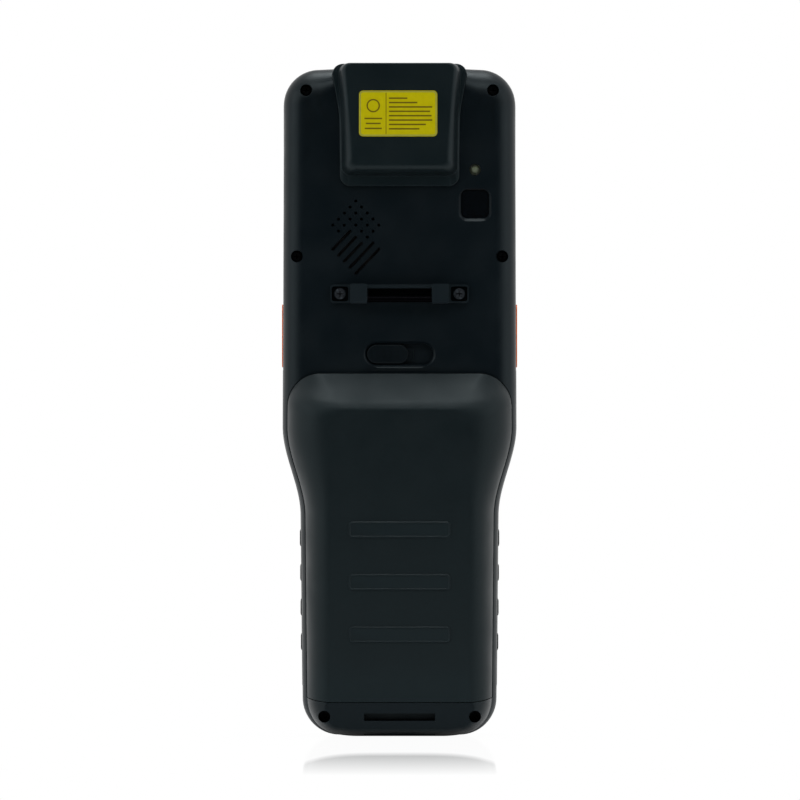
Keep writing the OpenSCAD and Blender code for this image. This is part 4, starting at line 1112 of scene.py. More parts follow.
@dataclass
class BatteryCover(SubAssembly):
    """Hinged cover over the grip, with its grip bars, hinge tabs and keeper."""

    rim: float = 1.35
    top: float = 102.6
    corner_r: float = 9.3
    shell: float = 1.6
    seam_z: float = 10.0
    seam_flat: float = 18.7
    seam_rise: float = 1.1
    plat_top: float = 92.0
    plat_r: float = 5.0
    lip: float = 0.3
    lean: float = 0.86
    straight: float = 0.78
    bar_z: Sequence[float] = (29.25, 44.0, 58.75)
    bar_size: tuple[float, float, float] = (28.8, 4.7, 0.45)
    bar_edge: float = 0.3
    bar_rim: float = 0.15
    bar_dish: float = 0.22
    tab_x: float = 14.3
    tab_w: float = 4.5
    tab_len: float = 2.4
    tab_t: float = 1.6
    tab_up: float = 1.6
    tab_room: tuple[float, float] = (1.4, 0.3)
    keeper_w: float = 9.0
    keeper_h: float = 1.4
    keeper_back: float = 4.6
    keeper_in: float = 1.6
    keeper_room: tuple[float, float, float] = (10.0, 2.4, 1.6)
    contacts: tuple[float, float, float] = (12.2, 12.0, 3.4)
    battery: tuple[float, float, float] = (42.0, 17.0, 91.4)
    battery_gap: float = 0.4

    def half_width(self, z: float | np.ndarray) -> np.ndarray:
        """Half width of the cover at a height."""
        return self.plan.half_width(z) - self.rim

    def outlines(self, inside: float, low: float) -> tuple[Outline, Outline]:
        """Outlines of the cover's edge and of its flat back, point for point.

        Args:
            inside: How far both lie inside the cover's own.
            low: How far the seam's line is moved down.

        Returns:
            The edge's outline and the flat back's.
        """
        plan = self.plan
        flat, top = plan.plat_w / 2 - 0.7 * inside, self.plat_top - 0.7 * inside
        r, middle = self.corner_r - inside, float(self.half_width(self.top)) - self.corner_r
        corner = arc(middle, self.top - self.corner_r, r, 90, 0, 18)
        flat_corner = arc(flat - self.plat_r, top - self.plat_r, self.plat_r, 90, 0, 18)
        grip = np.linspace(plan.waist_bot, self.seam_z + self.seam_rise, 10)[1:-1]
        z = np.concatenate([np.linspace(plan.waist_top, plan.waist_bot, 31), grip])
        flank = np.stack([self.half_width(z) - inside, z], 1)
        share = (top - self.plat_r - plan.waist_bot - 1) / (plan.waist_top - plan.waist_bot)
        flat_z = np.where(z > plan.waist_bot, plan.waist_bot + (z - plan.waist_bot) * share, z)
        flat_flank = np.stack([np.full(len(z), flat), flat_z], 1)
        t = np.linspace(1, 0, 9)
        wide = self.half_width(self.seam_z) - inside
        x = self.seam_flat + (wide - self.seam_flat) * t
        seam = np.stack([x, self.seam_z + self.seam_rise * t * t - low], 1)
        edge, back = [corner, flank, seam], [flat_corner, flat_flank, seam * (flat / wide, 1)]
        return Outline.mirrored(np.vstack(edge)), Outline.mirrored(np.vstack(back))

    def depth(self, z: float | np.ndarray) -> np.ndarray:
        """Depth of the flat back behind the cover's seat at a height."""
        t = np.clip((np.asarray(z, float) - self.seam_z) / (self.plat_top - self.seam_z), 0, 1)
        return self.plan.cover_b - self.plan.cover_taper * (1 - t) ** 2

    def slope(self, z: float) -> float:
        """Lean of the flat back at a height, in radians."""
        t = (z - self.seam_z) / (self.plat_top - self.seam_z)
        return math.atan(2 * self.plan.cover_taper * (1 - t) / (self.plat_top - self.seam_z))

    def seam_line(self, x: np.ndarray, inside: float) -> np.ndarray:
        """Height of the cover's lower edge at a distance from the middle."""
        reach = float(self.half_width(self.seam_z)) - inside - self.seam_flat
        return self.seam_z + self.seam_rise * (np.maximum(0, np.abs(x) - self.seam_flat) / reach) ** 2

    def ways(self, u: float) -> tuple[np.ndarray, np.ndarray]:
        """Ways in and out of the surface: round at the sides, a chamfer at the top.

        Args:
            u: Way from the edge, at 0, to the flat back, at 1.

        Returns:
            Shares of the way in and of the way out, at the sides and at the top.
        """
        side = np.array([1 - math.cos(u * math.pi / 2), math.sin(u * math.pi / 2)])
        bend, v = np.array([self.lean, 1.0]), max(0, 2 * u - 1)
        start = bend * self.straight * min(1, 2 * u)
        return side, (1 - v) ** 2 * start + 2 * v * (1 - v) * bend + v * v

    def form(self, name: str, inside: float, low: float, steps: int) -> Piece:
        """Bulged form of the cover, or of the room inside it.

        Args:
            name: Name of the piece.
            inside: How far it lies inside the cover's outer form.
            low: How far the seam's line is moved down.
            steps: Rings from the edge to the flat back.

        Returns:
            The closed form.
        """
        plan = self.plan
        edge, flat = self.outlines(inside, low)
        up = np.maximum(edge.normals()[:, 1], 0) ** 2
        lip = self.lip * up + 0.02
        count = len(edge.points)
        order = np.arange(count)
        seam = np.minimum(order, count - 1 - order) >= count // 2 - 9
        rings = [edge.ring(plan.land_y - plan.cover_gap + (1 if inside else 0))]
        for k in range(steps + 1):
            side, top = self.ways(k / steps)
            level, rise = (side[:, None] * (1 - up) + top[:, None] * up)
            rise = lip + (1 - lip) * rise
            spot = edge.points + (flat.points - edge.points) * level[:, None]
            spot[:, 1] = np.where(seam, self.seam_line(spot[:, 0], inside) - low, spot[:, 1])
            rings.append(Outline(spot).ring(plan.seat_y - (self.depth(spot[:, 1]) - inside) * rise))
        return loft(name, rings, laddered=True)

    def bar(self, z: float) -> Piece:
        """One raised grip bar with rounded ends and a dished face, laid on the flat back.

        Args:
            z: Height of its middle.

        Returns:
            The bar.
        """
        width, height, rise = self.bar_size
        rim, dish = self.bar_edge + self.bar_rim, self.bar_dish
        levels = ((0, 0.8), (0, -0.1), (self.bar_edge, -rise), (rim, -rise), (rim + dish, dish - rise))
        piece = stepped(f"grip_bar_{z:.0f}", (width, height, 1.2), levels, steps=8)
        lean = Euler((self.slope(z), 0, 0)).to_matrix().to_4x4()
        lean.translation = Vector((0, self.plan.seat_y - float(self.depth(z)), z)) * MM
        piece.data.transform(lean)
        return piece

    @property
    def keeper_z(self) -> float:
        """Height of the keeper's top."""
        return self.top - self.shell - 0.6

    def tabs(self) -> list[Piece]:
        """The two hooked tabs under the seam.

        Returns:
            The tabs.
        """
        y0, y1 = self.plan.foot_y + self.shell - 0.5, self.plan.foot_y + self.shell + self.tab_t - 0.2
        z0, z1 = self.seam_z - self.tab_len, self.seam_z + self.tab_up
        return [block("tab", self.tab_w, y0, y1, z0, z1, side.value * self.tab_x) for side in Side]

    def keeper(self) -> Piece:
        """Rib inside the top edge that the latch holds."""
        y0, y1 = self.plan.seat_y - self.keeper_back, self.plan.land_y + self.keeper_in
        return block("keeper", self.keeper_w, y0, y1, self.keeper_z - self.keeper_h, self.keeper_z)

    def casing_tools(self) -> list[Piece]:
        """Tools that make room for the cover, its tabs and the battery in the rear shell.

        Returns:
            The tools.
        """
        plan, gap = self.plan, self.plan.cover_gap
        y, land, bay = plan.foot_y + self.shell, plan.land_y, plan.bay_y
        width, low, high = self.battery
        deep, under = self.tab_room
        keeper_w, keeper_in, keeper_low = self.keeper_room
        contact_w, contact_x, contact_d = self.contacts
        contact_room = bay - contact_d - 0.1, bay - 0.1, high - 1.2, high + 3.1
        bay_w, bay_low = width + 2 * self.battery_gap, low - self.battery_gap
        keeper_low = self.keeper_z - self.keeper_h - keeper_low
        tools = [
            prism("rebate", self.outlines(-gap, 0)[0], plan.foot_y - 10, land),
            block("keeper_room", keeper_w, land - 1, land + keeper_in, keeper_low, self.top + gap),
            block("bay", bay_w, plan.back_y - 5, bay, bay_low, high),
            block("contact_room", contact_w, *contact_room, contact_x),
        ]
        z0, z1 = self.seam_z - self.tab_len - under, self.seam_z + self.tab_up + 0.4
        for side in Side:
            x, y0, y1 = side.value * self.tab_x, y - 0.7, y + self.tab_t + deep
            tools.append(block("tab_room", self.tab_w + 2 * gap, y0, y1, z0, z1, x))
        return tools

    def build(self) -> None:
        """Make the cover in one piece, and round its edges."""
        cover = self.form("battery_cover_shell", 0, -self.plan.cover_gap, 30)
        carve(cover, [self.form("cover_room", self.shell, 4, 12)])
        carve(cover, [*self.tabs(), self.keeper()], Carve.ADD)
        cover = joined("battery_cover_shell", [cover, *(self.bar(z) for z in self.bar_z)])
        self.add(soften(cover, 0.1), "cover_plastic", "battery_cover", ["battery_cover"])


@dataclass
class Latch(SubAssembly):
    """Sliding latch above the cover, in its sunk track."""

    middle_z: float = 108.1
    track: tuple[float, float, float] = (19.0, 6.0, 2.2)
    slider_w: float = 11.7
    gap: float = 0.3
    travel: float = 5.0
    stem_w: float = 4.0
    cover_top: float = 102.6
    mark: tuple[float, float, float] = (2.3, 0.6, 13.55)
    plate: tuple[float, float, float] = (4.0, 3.2, 3.4)
    edge: float = 0.6
    lip_size: tuple[float, float, float] = (17.4, 1.5, 0.74)
    lip_crest: tuple[float, float] = (0.65, 2.6)
    lip_drop: float = 1.0
    lip_rise: float = 0.4
    skirt: tuple[float, float, float] = (12.8, 3.4, 0.6)
    rib: tuple[float, float, float] = (0.8, 1.9, 0.12)

    @property
    def rest_x(self) -> float:
        """Middle of the slider when it locks the cover."""
        return -(self.track[0] - self.slider_w) / 2 + self.gap

    def casing_tools(self) -> list[Piece]:
        """Tools for the track, its slot and the room behind it.

        Returns:
            The tools.
        """
        plan, z, middle = self.plan, self.middle_z, self.rest_x + self.travel / 2
        (width, height, depth), (wider, under, over) = self.track, self.plate
        y, inner, free = plan.back_y, plan.back_y + depth + 1.5, self.stem_w + self.travel + 2 * self.gap
        return [
            slab("track", width, height, height / 2 - 0.01, y - 1, y + depth, 0, z),
            self.track_edge(),
            slab("slot", free, 3, 0.4, y, plan.cell_y, middle, z),
            block("plate_room", width + wider, inner, plan.cell_y + 1, z - under, z + over),
            block("tongue_room", self.travel + 6, inner, plan.land_y + 2.4, self.cover_top - 1, z, middle),
        ]

    def track_edge(self) -> Piece:
        """Tool for the chamfer round the track.

        Returns:
            The tool.
        """
        (width, height, _), y, edge = self.track, self.plan.back_y, self.edge
        levels = ((-edge, y - 0.5), (-edge, y), (0, y + edge), (0, y + 1))
        return stepped("track_edge", (width, height, height / 2 - 0.01), levels, (0, self.middle_z), 12)

    def casing_added(self) -> list[Piece]:
        """The moulded mark beside the track and the lip under it."""
        (width, height, x), y = self.mark, self.plan.back_y
        return [slab("latch_mark", width, height, 0.2, y - 0.15, y + 0.1, -x, self.middle_z), self.lip()]

    def lip(self) -> Piece:
        """Raised lip under the track, with a narrower crest.

        Returns:
            The lip.
        """
        (width, height, radius), (inset, ease), y = self.lip_size, self.lip_crest, self.plan.back_y
        at = (0, self.middle_z - self.track[1] / 2 - self.lip_drop)
        base = Outline.rounded(width, height, radius, *at)
        crest = Outline.rounded(width - 2 * ease, height - 2 * inset, radius - inset, *at)
        return loft("latch_lip", [base.ring(y + 0.2), base.ring(y), crest.ring(y - self.lip_rise)])

    def build(self) -> None:
        """Make the slider with its thumb ribs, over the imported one."""
        z, x, height = self.middle_z, self.rest_x, self.track[1] - 2 * self.gap
        y0, y1 = self.plan.back_y + 0.1, self.plan.back_y + self.track[2] - 0.15
        levels = ((0, y1), (0, y0 + 0.35), (0.12, y0 + 0.1), (0.4, y0))
        slider = stepped("latch_slider", (self.slider_w, height, height / 2 - 0.01), levels, (x, z), 10)
        rib_w, pitch, proud = self.rib
        added = [
            slab("rib", rib_w, height - 1.6 - 0.5 * abs(i), 0.35, y0 - proud, y0 + 0.2, x + pitch * i, z)
            for i in range(-2, 3)
        ]
        width, high, thick = self.skirt
        added.append(block("stem", self.stem_w, y1 - 0.15, y1 + 1.85, z - 1.3, z + 1.3, x))
        left = x - self.slider_w / 2 + 0.3
        added.append(slab("skirt", width, high, 0.6, y1 - thick, y1, left + width / 2, z))
        carve(slider, added, Carve.ADD)
        self.add(soften(slider, 0.12), "latch_plastic", "battery_latch", ["battery_latch"])


# ---------------------------------------------------------------- scan head, camera and speaker


@dataclass
class ScanHead(SubAssembly):
    """Scan housing on top of the back, with its label."""

    top_hw: float = 19.0
    low_hw: float = 17.0
    neck_z: float = 176.0
    bottom: float = 155.5
    low_r: float = 3.0
    top_r: float = 3.0
    rise: float = 7.0
    flange_t: float = 1.2
    foot_in: tuple[float, float, float, float] = (1.6, 0.45, 0.4, 2.75)
    flat_in: tuple[float, float, float, float] = (3.9, 2.9, 3.75, 5.8)
    knee: tuple[float, float] = (0.3, 1.2)
    crest: float = 0.62
    brow: float = 1.12
    shell: float = 1.6
    reach: float = 12.5
    room_low: float = 12.0
    window: tuple[float, float, float] = (24.0, 12.0, 1.1)
    window_y: float = 2.8
    label: tuple[float, float] = (22.0, 12.9)
    label_at: tuple[float, float] = (-0.4, 175.7)
    print_out: tuple[float, float] = (0.22, 0.19)
    ring: tuple[float, float, float, float] = (1.9, 1.5, -7.0, 2.2)
    rule_h: float = 0.42
    rule_pitch: float = 1.23
    left_rules: Sequence[tuple[float, float]] = ((-1.4, 5.0), (-2.8, 4.2), (-4.2, 4.8))
    right_rules: Sequence[float] = (5.2, 8.0, 12.2, 11.6, 12.0, 12.2, 10.4, 8.6)

    @property
    def back(self) -> float:
        """Plane of the housing's flat back."""
        return self.plan.back_y - self.rise

    def outline(
        self, inset: Sequence[float] = (0, 0, 0, 0), low_r: float = 3.0, top_r: float = 3.0, drop: float = 0
    ) -> Outline:
        """The flange's outline, or one inset from it.

        Args:
            inset: Insets of the side at the top, at the neck and low down, and of the lower edge.
            low_r: Radius of the lower corners.
            top_r: Radius of the upper corners.
            drop: How far its top lies below the housing's.

        Returns:
            The outline, with the same number of points for every inset.
        """
        high, neck, low, lift = inset
        top, side_x = self.plan.total_len - drop, self.low_hw - 0.15 - low
        upper = arc(self.top_hw - high - top_r, top - top_r, top_r, 90, 0, 12)
        lower = arc(side_x - low_r, self.bottom + lift + low_r, low_r, 0, -90, 16)
        middle = (self.low_hw - 0.1 - low, (self.neck_z + self.bottom) / 2)
        side = eased_corners([upper[-1], (self.low_hw - neck, self.neck_z), middle, lower[0]], 3.5, 6)
        return Outline.mirrored(np.vstack([upper, side[1:-1], lower]))

    def level(self, t: float, y: float, drop: float = 0) -> np.ndarray:
        """Ring of the slope at a depth: t is 0 at its foot and 1 at the flat back."""
        inset = [a + (b - a) * t for a, b in zip(self.foot_in, self.flat_in)]
        return self.outline(inset, self.low_r - 0.3 - 0.9 * t, self.top_r - 0.4 - 0.9 * t, drop).ring(y)

    def rings(self) -> list[np.ndarray]:
        """Rings from the flange at the back plane, over the convex slope, to the flat back.

        Returns:
            The rings.
        """
        edge = self.plan.back_y - self.flange_t + 0.4
        made = [self.outline().ring(self.plan.back_y), self.outline().ring(edge)]
        made += [self.outline((d,) * 4).ring(edge - y) for d, y in ((0.02, 0.16), (0.08, 0.3), (0.2, 0.4))]
        made += [self.level(t, edge - y) for t, y in ((0, 0.45), (0.02, 0.5), (0.04, 0.6), (0.07, 0.8))]
        foot, knee = np.array([0.07, edge - 0.8 - self.back]), np.array(self.knee)
        crest, brow = np.array([self.crest, 0.0]), np.array([self.brow, 0.0])
        for s in np.linspace(0, 1, 15)[1:]:
            r = 1 - s
            t, y = r**3 * foot + 3 * r * r * s * knee + 3 * r * s * s * crest + s**3 * brow
            made.append(self.level(t, self.back + y, 0.5 * s**8))
        return made

    def casing_tools(self) -> list[Piece]:
        """Tools for the well that the housing drops into.

        Returns:
            The tools.
        """
        y, neck = self.plan.back_y, self.neck_z
        throat_end, throat_low = y + self.plan.wall + 1, neck - self.room_low
        well = self.outline().inset(-0.1).clipped(neck - 0.1, self.plan.total_len + 1)
        return [
            prism("scan_well", well, y - 1, y + self.reach + 0.1),
            block("scan_throat", self.window[0], y - 1, throat_end, throat_low, neck + 1),
        ]

    def hollow(self) -> list[Piece]:
        """Tools for the engine's room and the window's seat.

        Returns:
            The tools.
        """
        top, (width, height, thick) = self.plan.total_len, self.window
        y0 = self.back + self.window_y
        y1 = y0 + height
        inner = self.plan.back_y + self.reach - self.shell
        low = self.neck_z - self.room_low
        return [
            block("room", width - 0.8, self.back + self.shell, inner, low, top - 3),
            block("light_path", width - 2, y0 + 0.8, y1 - 0.8, top - 4, top + 1),
            block("window_seat", width + 0.2, y0 - 0.1, y1 + 0.1, top - thick - 0.5, top + 1),
        ]

    def build(self) -> None:
        """Make the housing and the label's print."""
        plan = self.plan
        shell = loft("scan_housing_shell", self.rings(), laddered=True)
        neck = self.outline().clipped(self.neck_z, plan.total_len + 1)
        carve(shell, [prism("scan_inner", neck, plan.back_y - 0.5, plan.back_y + self.reach)], Carve.ADD)
        carve(shell, self.hollow())
        self.add(soften(shell, 0.14), "scan_plastic", FIXED, ["scanner_housing"])
        self.print_label()

    def print_label(self) -> None:
        """Lay a plain print on the label: a pale rim, a divider, a ring and rules."""
        (x, z), (width, height) = self.label_at, self.label
        y0, y1 = (self.back - out for out in self.print_out)
        outer = slab("label_rim", width - 0.3, height - 0.3, 0.9, y0, y1, x, z)
        carve(outer, [slab("inner", width - 1.0, height - 1.0, 0.7, y0 - 1, y1 + 1, x, z)])
        self.add(outer, "inner_plastic", finish=INK_PALE)
        outer_r, inner_r, ring_x, ring_z = self.ring
        ring = peg("ring", outer_r, y0, y1, x + ring_x, z + ring_z, 36)
        carve(ring, [peg("hole", inner_r, y0 - 1, y1 + 1, x + ring_x, z + ring_z, 36)])
        rules = [(0.2, height - 1.3, -3.4, 0)]
        rules += [(rule_w, self.rule_h, -7.0, at_z) for at_z, rule_w in self.left_rules]
        for index, rule_w in enumerate(self.right_rules):
            rules.append((rule_w, self.rule_h, -2.6 + rule_w / 2, 4.3 - self.rule_pitch * index))
        marks = [
            block("rule", rule_w, y0, y1, z + at_z - rule_h / 2, z + at_z + rule_h / 2, x + at_x)
            for rule_w, rule_h, at_x, at_z in rules
        ]
        marks.insert(1, ring)
        self.add(joined("label_print", marks), "inner_plastic", finish=INK)


@dataclass
class BackFeatures(SubAssembly):
    """Camera, flash, grille and screws of the head's back."""

    camera_at: tuple[float, float] = (21.3, 150.5)
    camera_w: float = 7.9
    camera_r: float = 1.7
    bevel_w: float = 9.2
    bevel_d: float = 0.7
    bevel_low: float = 0.3
    flash_z: float = 160.1
    flash_r: float = 1.6
    speaker_at: tuple[float, float] = (-12.35, 141.1)
    grille_step: tuple[float, float] = (1.626, 1.70)
    grille_r: float = 0.43
    screws: Sequence[tuple[float, float]] = ((26.4, 182.6), (29.0, 135.7), (21.2, 6.1))
    screw_well_r: float = 1.7
    screw_hole_r: float = 1.0
    screw_sunk: float = 3.4
    foot_seat: float = 11.6
    boss_r: float = 2.9
    bracket_z: float = 125.1
    bracket_w: float = 39.0
    bracket_h: float = 5.1
    strap_w: float = 18.2
    post_w: float = 4.8
    post_out: float = 4.4
    ear_t: float = 1.4
    screw_x: float = 16.8
    sink: tuple[float, float] = (4.7, 4.2)
    pin: tuple[float, float, float] = (0.9, -9.75, 123.55)
    # Sheets of painted shade: the one behind the pin, and the rings in the ears' sunk faces.
    pin_painted_shade: tuple[float, float, float] = (3.6, 1.0, 1.12)
    ear_painted_shade: tuple[float, float, float] = (1.75, 0.38, 0.51)

    def seats(self) -> tuple[float, float, float]:
        """Depth of each screw head's seat."""
        deep = self.plan.back_y + self.screw_sunk
        return deep, deep, self.plan.part_y - self.foot_seat

    def bosses(self, low: bool) -> list[Piece]:
        """Bosses that the screws pass through.

        Args:
            low: Whether the two in the foot are meant, and not the four in the head.

        Returns:
            The bosses.
        """
        plan = self.plan
        start, up = (plan.cell_y - 1, 0.9) if low else (plan.back_y + plan.wall / 2 + 0.1, 0.0)
        return [
            peg("boss", self.boss_r, start, plan.part_y - 0.1, side.value * x, z + up)
            for side in Side
            for x, z in (self.screws[2:] if low else self.screws[:2])
        ]

    def casing_tools(self) -> list[Piece]:
        """Tools for the screw wells, camera, flash and grille.

        Returns:
            The tools.
        """
        plan, y, tools = self.plan, self.plan.back_y, []
        for side in Side:
            for (x, z), seat in zip(self.screws, self.seats()):
                x *= side.value
                tools.append(peg("well", self.screw_well_r, plan.foot_y - 5, seat, x, z))
                tools.append(peg("hole", self.screw_hole_r, seat - 0.5, plan.part_y + 1, x, z, 24))
        (x, z), radius, inner = self.camera_at, self.camera_r, self.camera_w + 0.2
        outer = Outline.rounded(self.bevel_w, self.bevel_w, radius + 0.7, x, z - self.bevel_low)
        rings = [Outline.rounded(inner, inner, radius, x, z - 0.1).ring(y + self.bevel_d)]
        tools.append(loft("camera_bevel", rings + [outer.ring(y), outer.ring(y - 1)]))
        hole = self.camera_w + 2 * plan.seat_gap
        tools.append(slab("camera_hole", hole, hole, radius, y - 1, y + plan.wall + 1, x, z))
        tools.append(peg("flash_hole", self.flash_r + 0.05, y - 1, y + 3, x, self.flash_z))
        return tools + self.grille()

    def grille(self) -> list[Piece]:
        """Holes of the slanted grille, the last of them drawn out into slots.

        Returns:
            The tools that cut them.
        """
        y0, y1 = self.plan.back_y - 1, self.plan.back_y + self.plan.wall + 0.5
        (dx, dz), (middle_x, middle_z), r = self.grille_step, self.speaker_at, self.grille_r

        def spot(i: int, j: int) -> np.ndarray:
            """Middle of one hole."""
            return np.array([middle_x + dx * (i - j), middle_z + 6 * dz - dz * (i + j)])

        made = []
        for i, j in ((i, j) for i in range(5) for j in range(5) if i < 2 or j < 3):
            x, z = spot(i, j)
            made.append(peg("sound_hole", r, y0, y1, x, z, 20))
        turn = np.linspace(0, math.pi, 9)[:, None]
        for i in range(2, 7):
            start, end = spot(i, 3 if i < 5 else 2), spot(i, 6)
            along = (end - start) / np.linalg.norm(end - start)
            cap = r * (np.cos(turn) * (along[1], -along[0]) + np.sin(turn) * along)
            made.append(prism("sound_slot", Outline(np.vstack([end + cap, start - cap])), y0, y1))
        return made

    def bracket(self) -> Piece:
        """The strap bracket: two ears with sunk faces, two posts and the bar between them.

        Returns:
            The bracket.
        """
        y, z, width, height = self.plan.back_y, self.bracket_z, self.strap_w, self.bracket_h
        reach, post, ear_w = self.post_out, self.post_w, (self.bracket_w - self.strap_w) / 2
        top = z + height / 2
        bar = block("bar", width + 2, y - reach + 0.6, y, top - 1, top)
        radius, *spot = self.pin
        hole_end = width / 2 + 1.5
        made, tools = [], [rod("pin_hole", radius + 0.05, (-hole_end, *spot), (hole_end, *spot))]
        for side in Side:
            x, at = side.value * self.screw_x, side.value * width / 2
            made.append(slab("ear", ear_w, height, 0.8, y - self.ear_t, y, at + side.value * ear_w / 2, z))
            made.append(slab("post", post, height + 0.4, 0.5, y - reach, y, at + side.value * post / 2, z))
            tools.append(peg("screw_hole", 1.0, y - 5, y + 1, x, z, 24))
            tools.append(peg("head_seat", self.screw_well_r, y - 5, y - self.ear_t / 2, x, z))
            tools.append(slab("sink", *self.sink, 0.7, y - 5, y - self.ear_t + 0.5, x, z))
        carve(bar, made, Carve.ADD)
        carve(bar, tools)
        bar.name = "strap_bracket_body"
        return bar

    def painted_shade_sheets(self) -> list[Piece]:
        """Black sheets that paint shade: one in each ear's sunk face round its screw, and one in the pocket
        behind the pin.

        Returns:
            The sheets of painted shade.
        """
        y, z, (width, height) = self.plan.back_y, self.bracket_z, self.sink
        (pin_h, y0, y1), (hole_r, low, high), ear = self.pin_painted_shade, self.ear_painted_shade, y - self.ear_t
        # Painted shade on the floor of the pocket behind the pin.
        made = [slab("pin_painted_shade", self.strap_w - 0.7, pin_h, 0.3, y + y0, y + y1, 0, z - 0.4)]
        for side in Side:
            x = side.value * self.screw_x
            # Painted shade in the ear's sunk face, round its screw.
            ear_shade_sheet = slab("ear_painted_shade", width - 0.1, height - 0.1, 0.65, ear + low, ear + high, x, z)
            made.append(carve(ear_shade_sheet, [peg("hole", hole_r, y - 5, y + 1, x, z)]))
        return made

    def build(self) -> None:
        """Make the strap bracket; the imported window, lens, cloth and screws keep their shape."""
        self.add(soften(self.bracket(), 0.22), "bracket_plastic", FIXED, ["strap_bracket"])
        # Black sheets that paint the shade behind the pin and in the ears' sunk faces.
        self.add(soften(joined("bracket_painted_shade", self.painted_shade_sheets()), 0), "bracket_plastic", finish=PAINTED_SHADE)


# ---------------------------------------------------------------- the two shells


@dataclass
class Casing(SubAssembly):
    """Rear and front shells, cut for everything that sits in them."""

    cover: BatteryCover
    latch: Latch
    scan: ScanHead
    features: BackFeatures
    slot: tuple[float, float, float] = (20.0, 2.1, 6.0)
    side_key: tuple[float, float, float] = (17.8, 5.0, 113.3)
    key_gap: float = 0.25
    port: tuple[float, float, float, float] = (15.0, 6.0, 1.5, 152.0)
    socket: tuple[float, float] = (3.6, 9.2)
    slot_turn: tuple[float, float] = (3.1, 2.2)
    dock: tuple[float, float] = (16.0, 4.4)
    notch: tuple[float, float, float] = (6.2, 10.3, 0.9)
    lens: tuple[float, float, float] = (57.5, 80.0, 135.0)
    lens_t: float = 1.1
    view: tuple[float, float] = (50.4, 71.5)
    ear_slot: tuple[float, float, float] = (14.0, 1.2, 0.59)
    ear_up: float = 5.0
    light: tuple[float, float] = (1.05, -18.0)
    strap_pocket: tuple[float, float, float, float] = (17.6, 1.1, 122.85, 126.55)
    deep_drop: float = 20.0
    foot_fullness: float = 0.66
    shoulder_roll: float = 0.4
    shoulder_ease: float = 4.0

    def rear_form(self) -> Piece:
        """Outer form of the rear shell: round-edged in the head, deep and full at the foot.

        Returns:
            The closed form.
        """
        plan = self.plan
        outline = plan.casing()
        up = outline.normals()[:, 1]
        deep = outline.points[:, 1] < plan.waist_bot - self.deep_drop
        low = 1 - self.foot_fullness * np.minimum(up, 0) ** 2
        beside = np.clip((np.abs(outline.points[:, 0]) - self.scan.top_hw) / self.shoulder_ease, 0, 1)
        broad = 1 + self.shoulder_roll * smooth(beside) * np.maximum(up, 0) ** 2
        seat = math.asin(1 - plan.cover_seat / plan.back_r)
        seat_in = plan.back_r * (1 - math.cos(seat))
        deep_in = float(plan.half_width(plan.foot_r)) - plan.plat_w / 2 - seat_in
        rings = [outline.ring(plan.part_y)]
        for share in np.concatenate([np.linspace(-1, 0, 7), np.linspace(0, 1, 13)[1:]]):
            turn = seat * (1 + share) if share <= 0 else seat + (math.pi / 2 - seat) * share
            depth = broad * plan.back_r * (1 - math.cos(turn))
            y = plan.back_y + plan.back_r * (1 - math.sin(turn))
            if share > 0:
                bend = math.pi / 2 * share
                depth = np.where(deep, (seat_in + deep_in * (1 - math.cos(bend))) * low, depth)
                y = np.where(deep, plan.seat_y - plan.foot_b * math.sin(bend), y)
            rings.append(outline.inset(depth).ring(y))
        return loft("rear_shell", rings, laddered=True)

    def head_form(self, depth: float) -> Piece:
        """The head's round-edged form, down to the step.

        Args:
            depth: How far it lies inside the outer face.

        Returns:
            The closed form.
        """
        plan = self.plan
        outline, bend = plan.casing(), plan.back_r - depth
        kept = outline.points[:, 1] >= plan.step_z
        levels = [(depth, plan.part_y + 1)]
        for turn in np.radians((0, 30, 60, 90)):
            y = plan.back_y + depth + bend * (1 - math.sin(turn))
            levels.append((depth + bend * (1 - math.cos(turn)), y))
        rings = []
        for inset, y in levels:
            points = outline.inset(inset).points[kept]
            foot, half = float(plan.half_width(plan.step_z)) - inset, len(points) // 2
            ends = np.array([(foot, plan.step_z), (-foot, plan.step_z)])
            rings.append(Outline(np.vstack([points[:half], ends, points[half:]])).ring(y))
        return loft("head_form", rings, laddered=True)

    def rear_room(self) -> list[Piece]:
        """Tools for the room inside the rear shell."""
        plan, lower = self.plan, self.plan.casing().inset(self.plan.wall).clipped(-1, self.plan.step_z + 0.01)
        return [self.head_form(plan.wall), prism("grip_room", lower, plan.cell_y, plan.part_y + 1)]

    def foot_tools(self) -> list[Piece]:
        """Tools for the strap slot, the cradle notches and the dock.

        Returns:
            The tools.
        """
        plan, foot, (width, height, z) = self.plan, self.plan.foot_y, self.slot
        (dock_w, dock_d), (notch_w, notch_x, notch_h) = self.dock, self.notch
        turn = foot + self.slot_turn[0]
        front = turn + self.slot_turn[1]
        y0, y1 = plan.side_y - dock_d / 2 - 0.1, plan.side_y + dock_d / 2 + 0.1
        return [
            block("slot", width, foot - 3, front, z - height / 2, z + height / 2),
            block("slot_down", width, turn, front, -1, z),
            block("dock_room", dock_w + 0.2, y0, y1, -1, plan.wall + 2),
            *(
                block("notch", notch_w, foot - 1, foot + 2, -1, notch_h, side.value * notch_x)
                for side in Side
            ),
        ]

    def side_pill(self, width: float, length: float, ends: Sequence[float]) -> Piece:
        """Rounded plug through a flank at the side keys' height, between two values of X."""
        shape = Outline.rounded(width, length, width / 2 - 0.4, self.plan.side_y, self.side_key[2])
        return loft("pill", [shape.sideways(x) for x in ends])

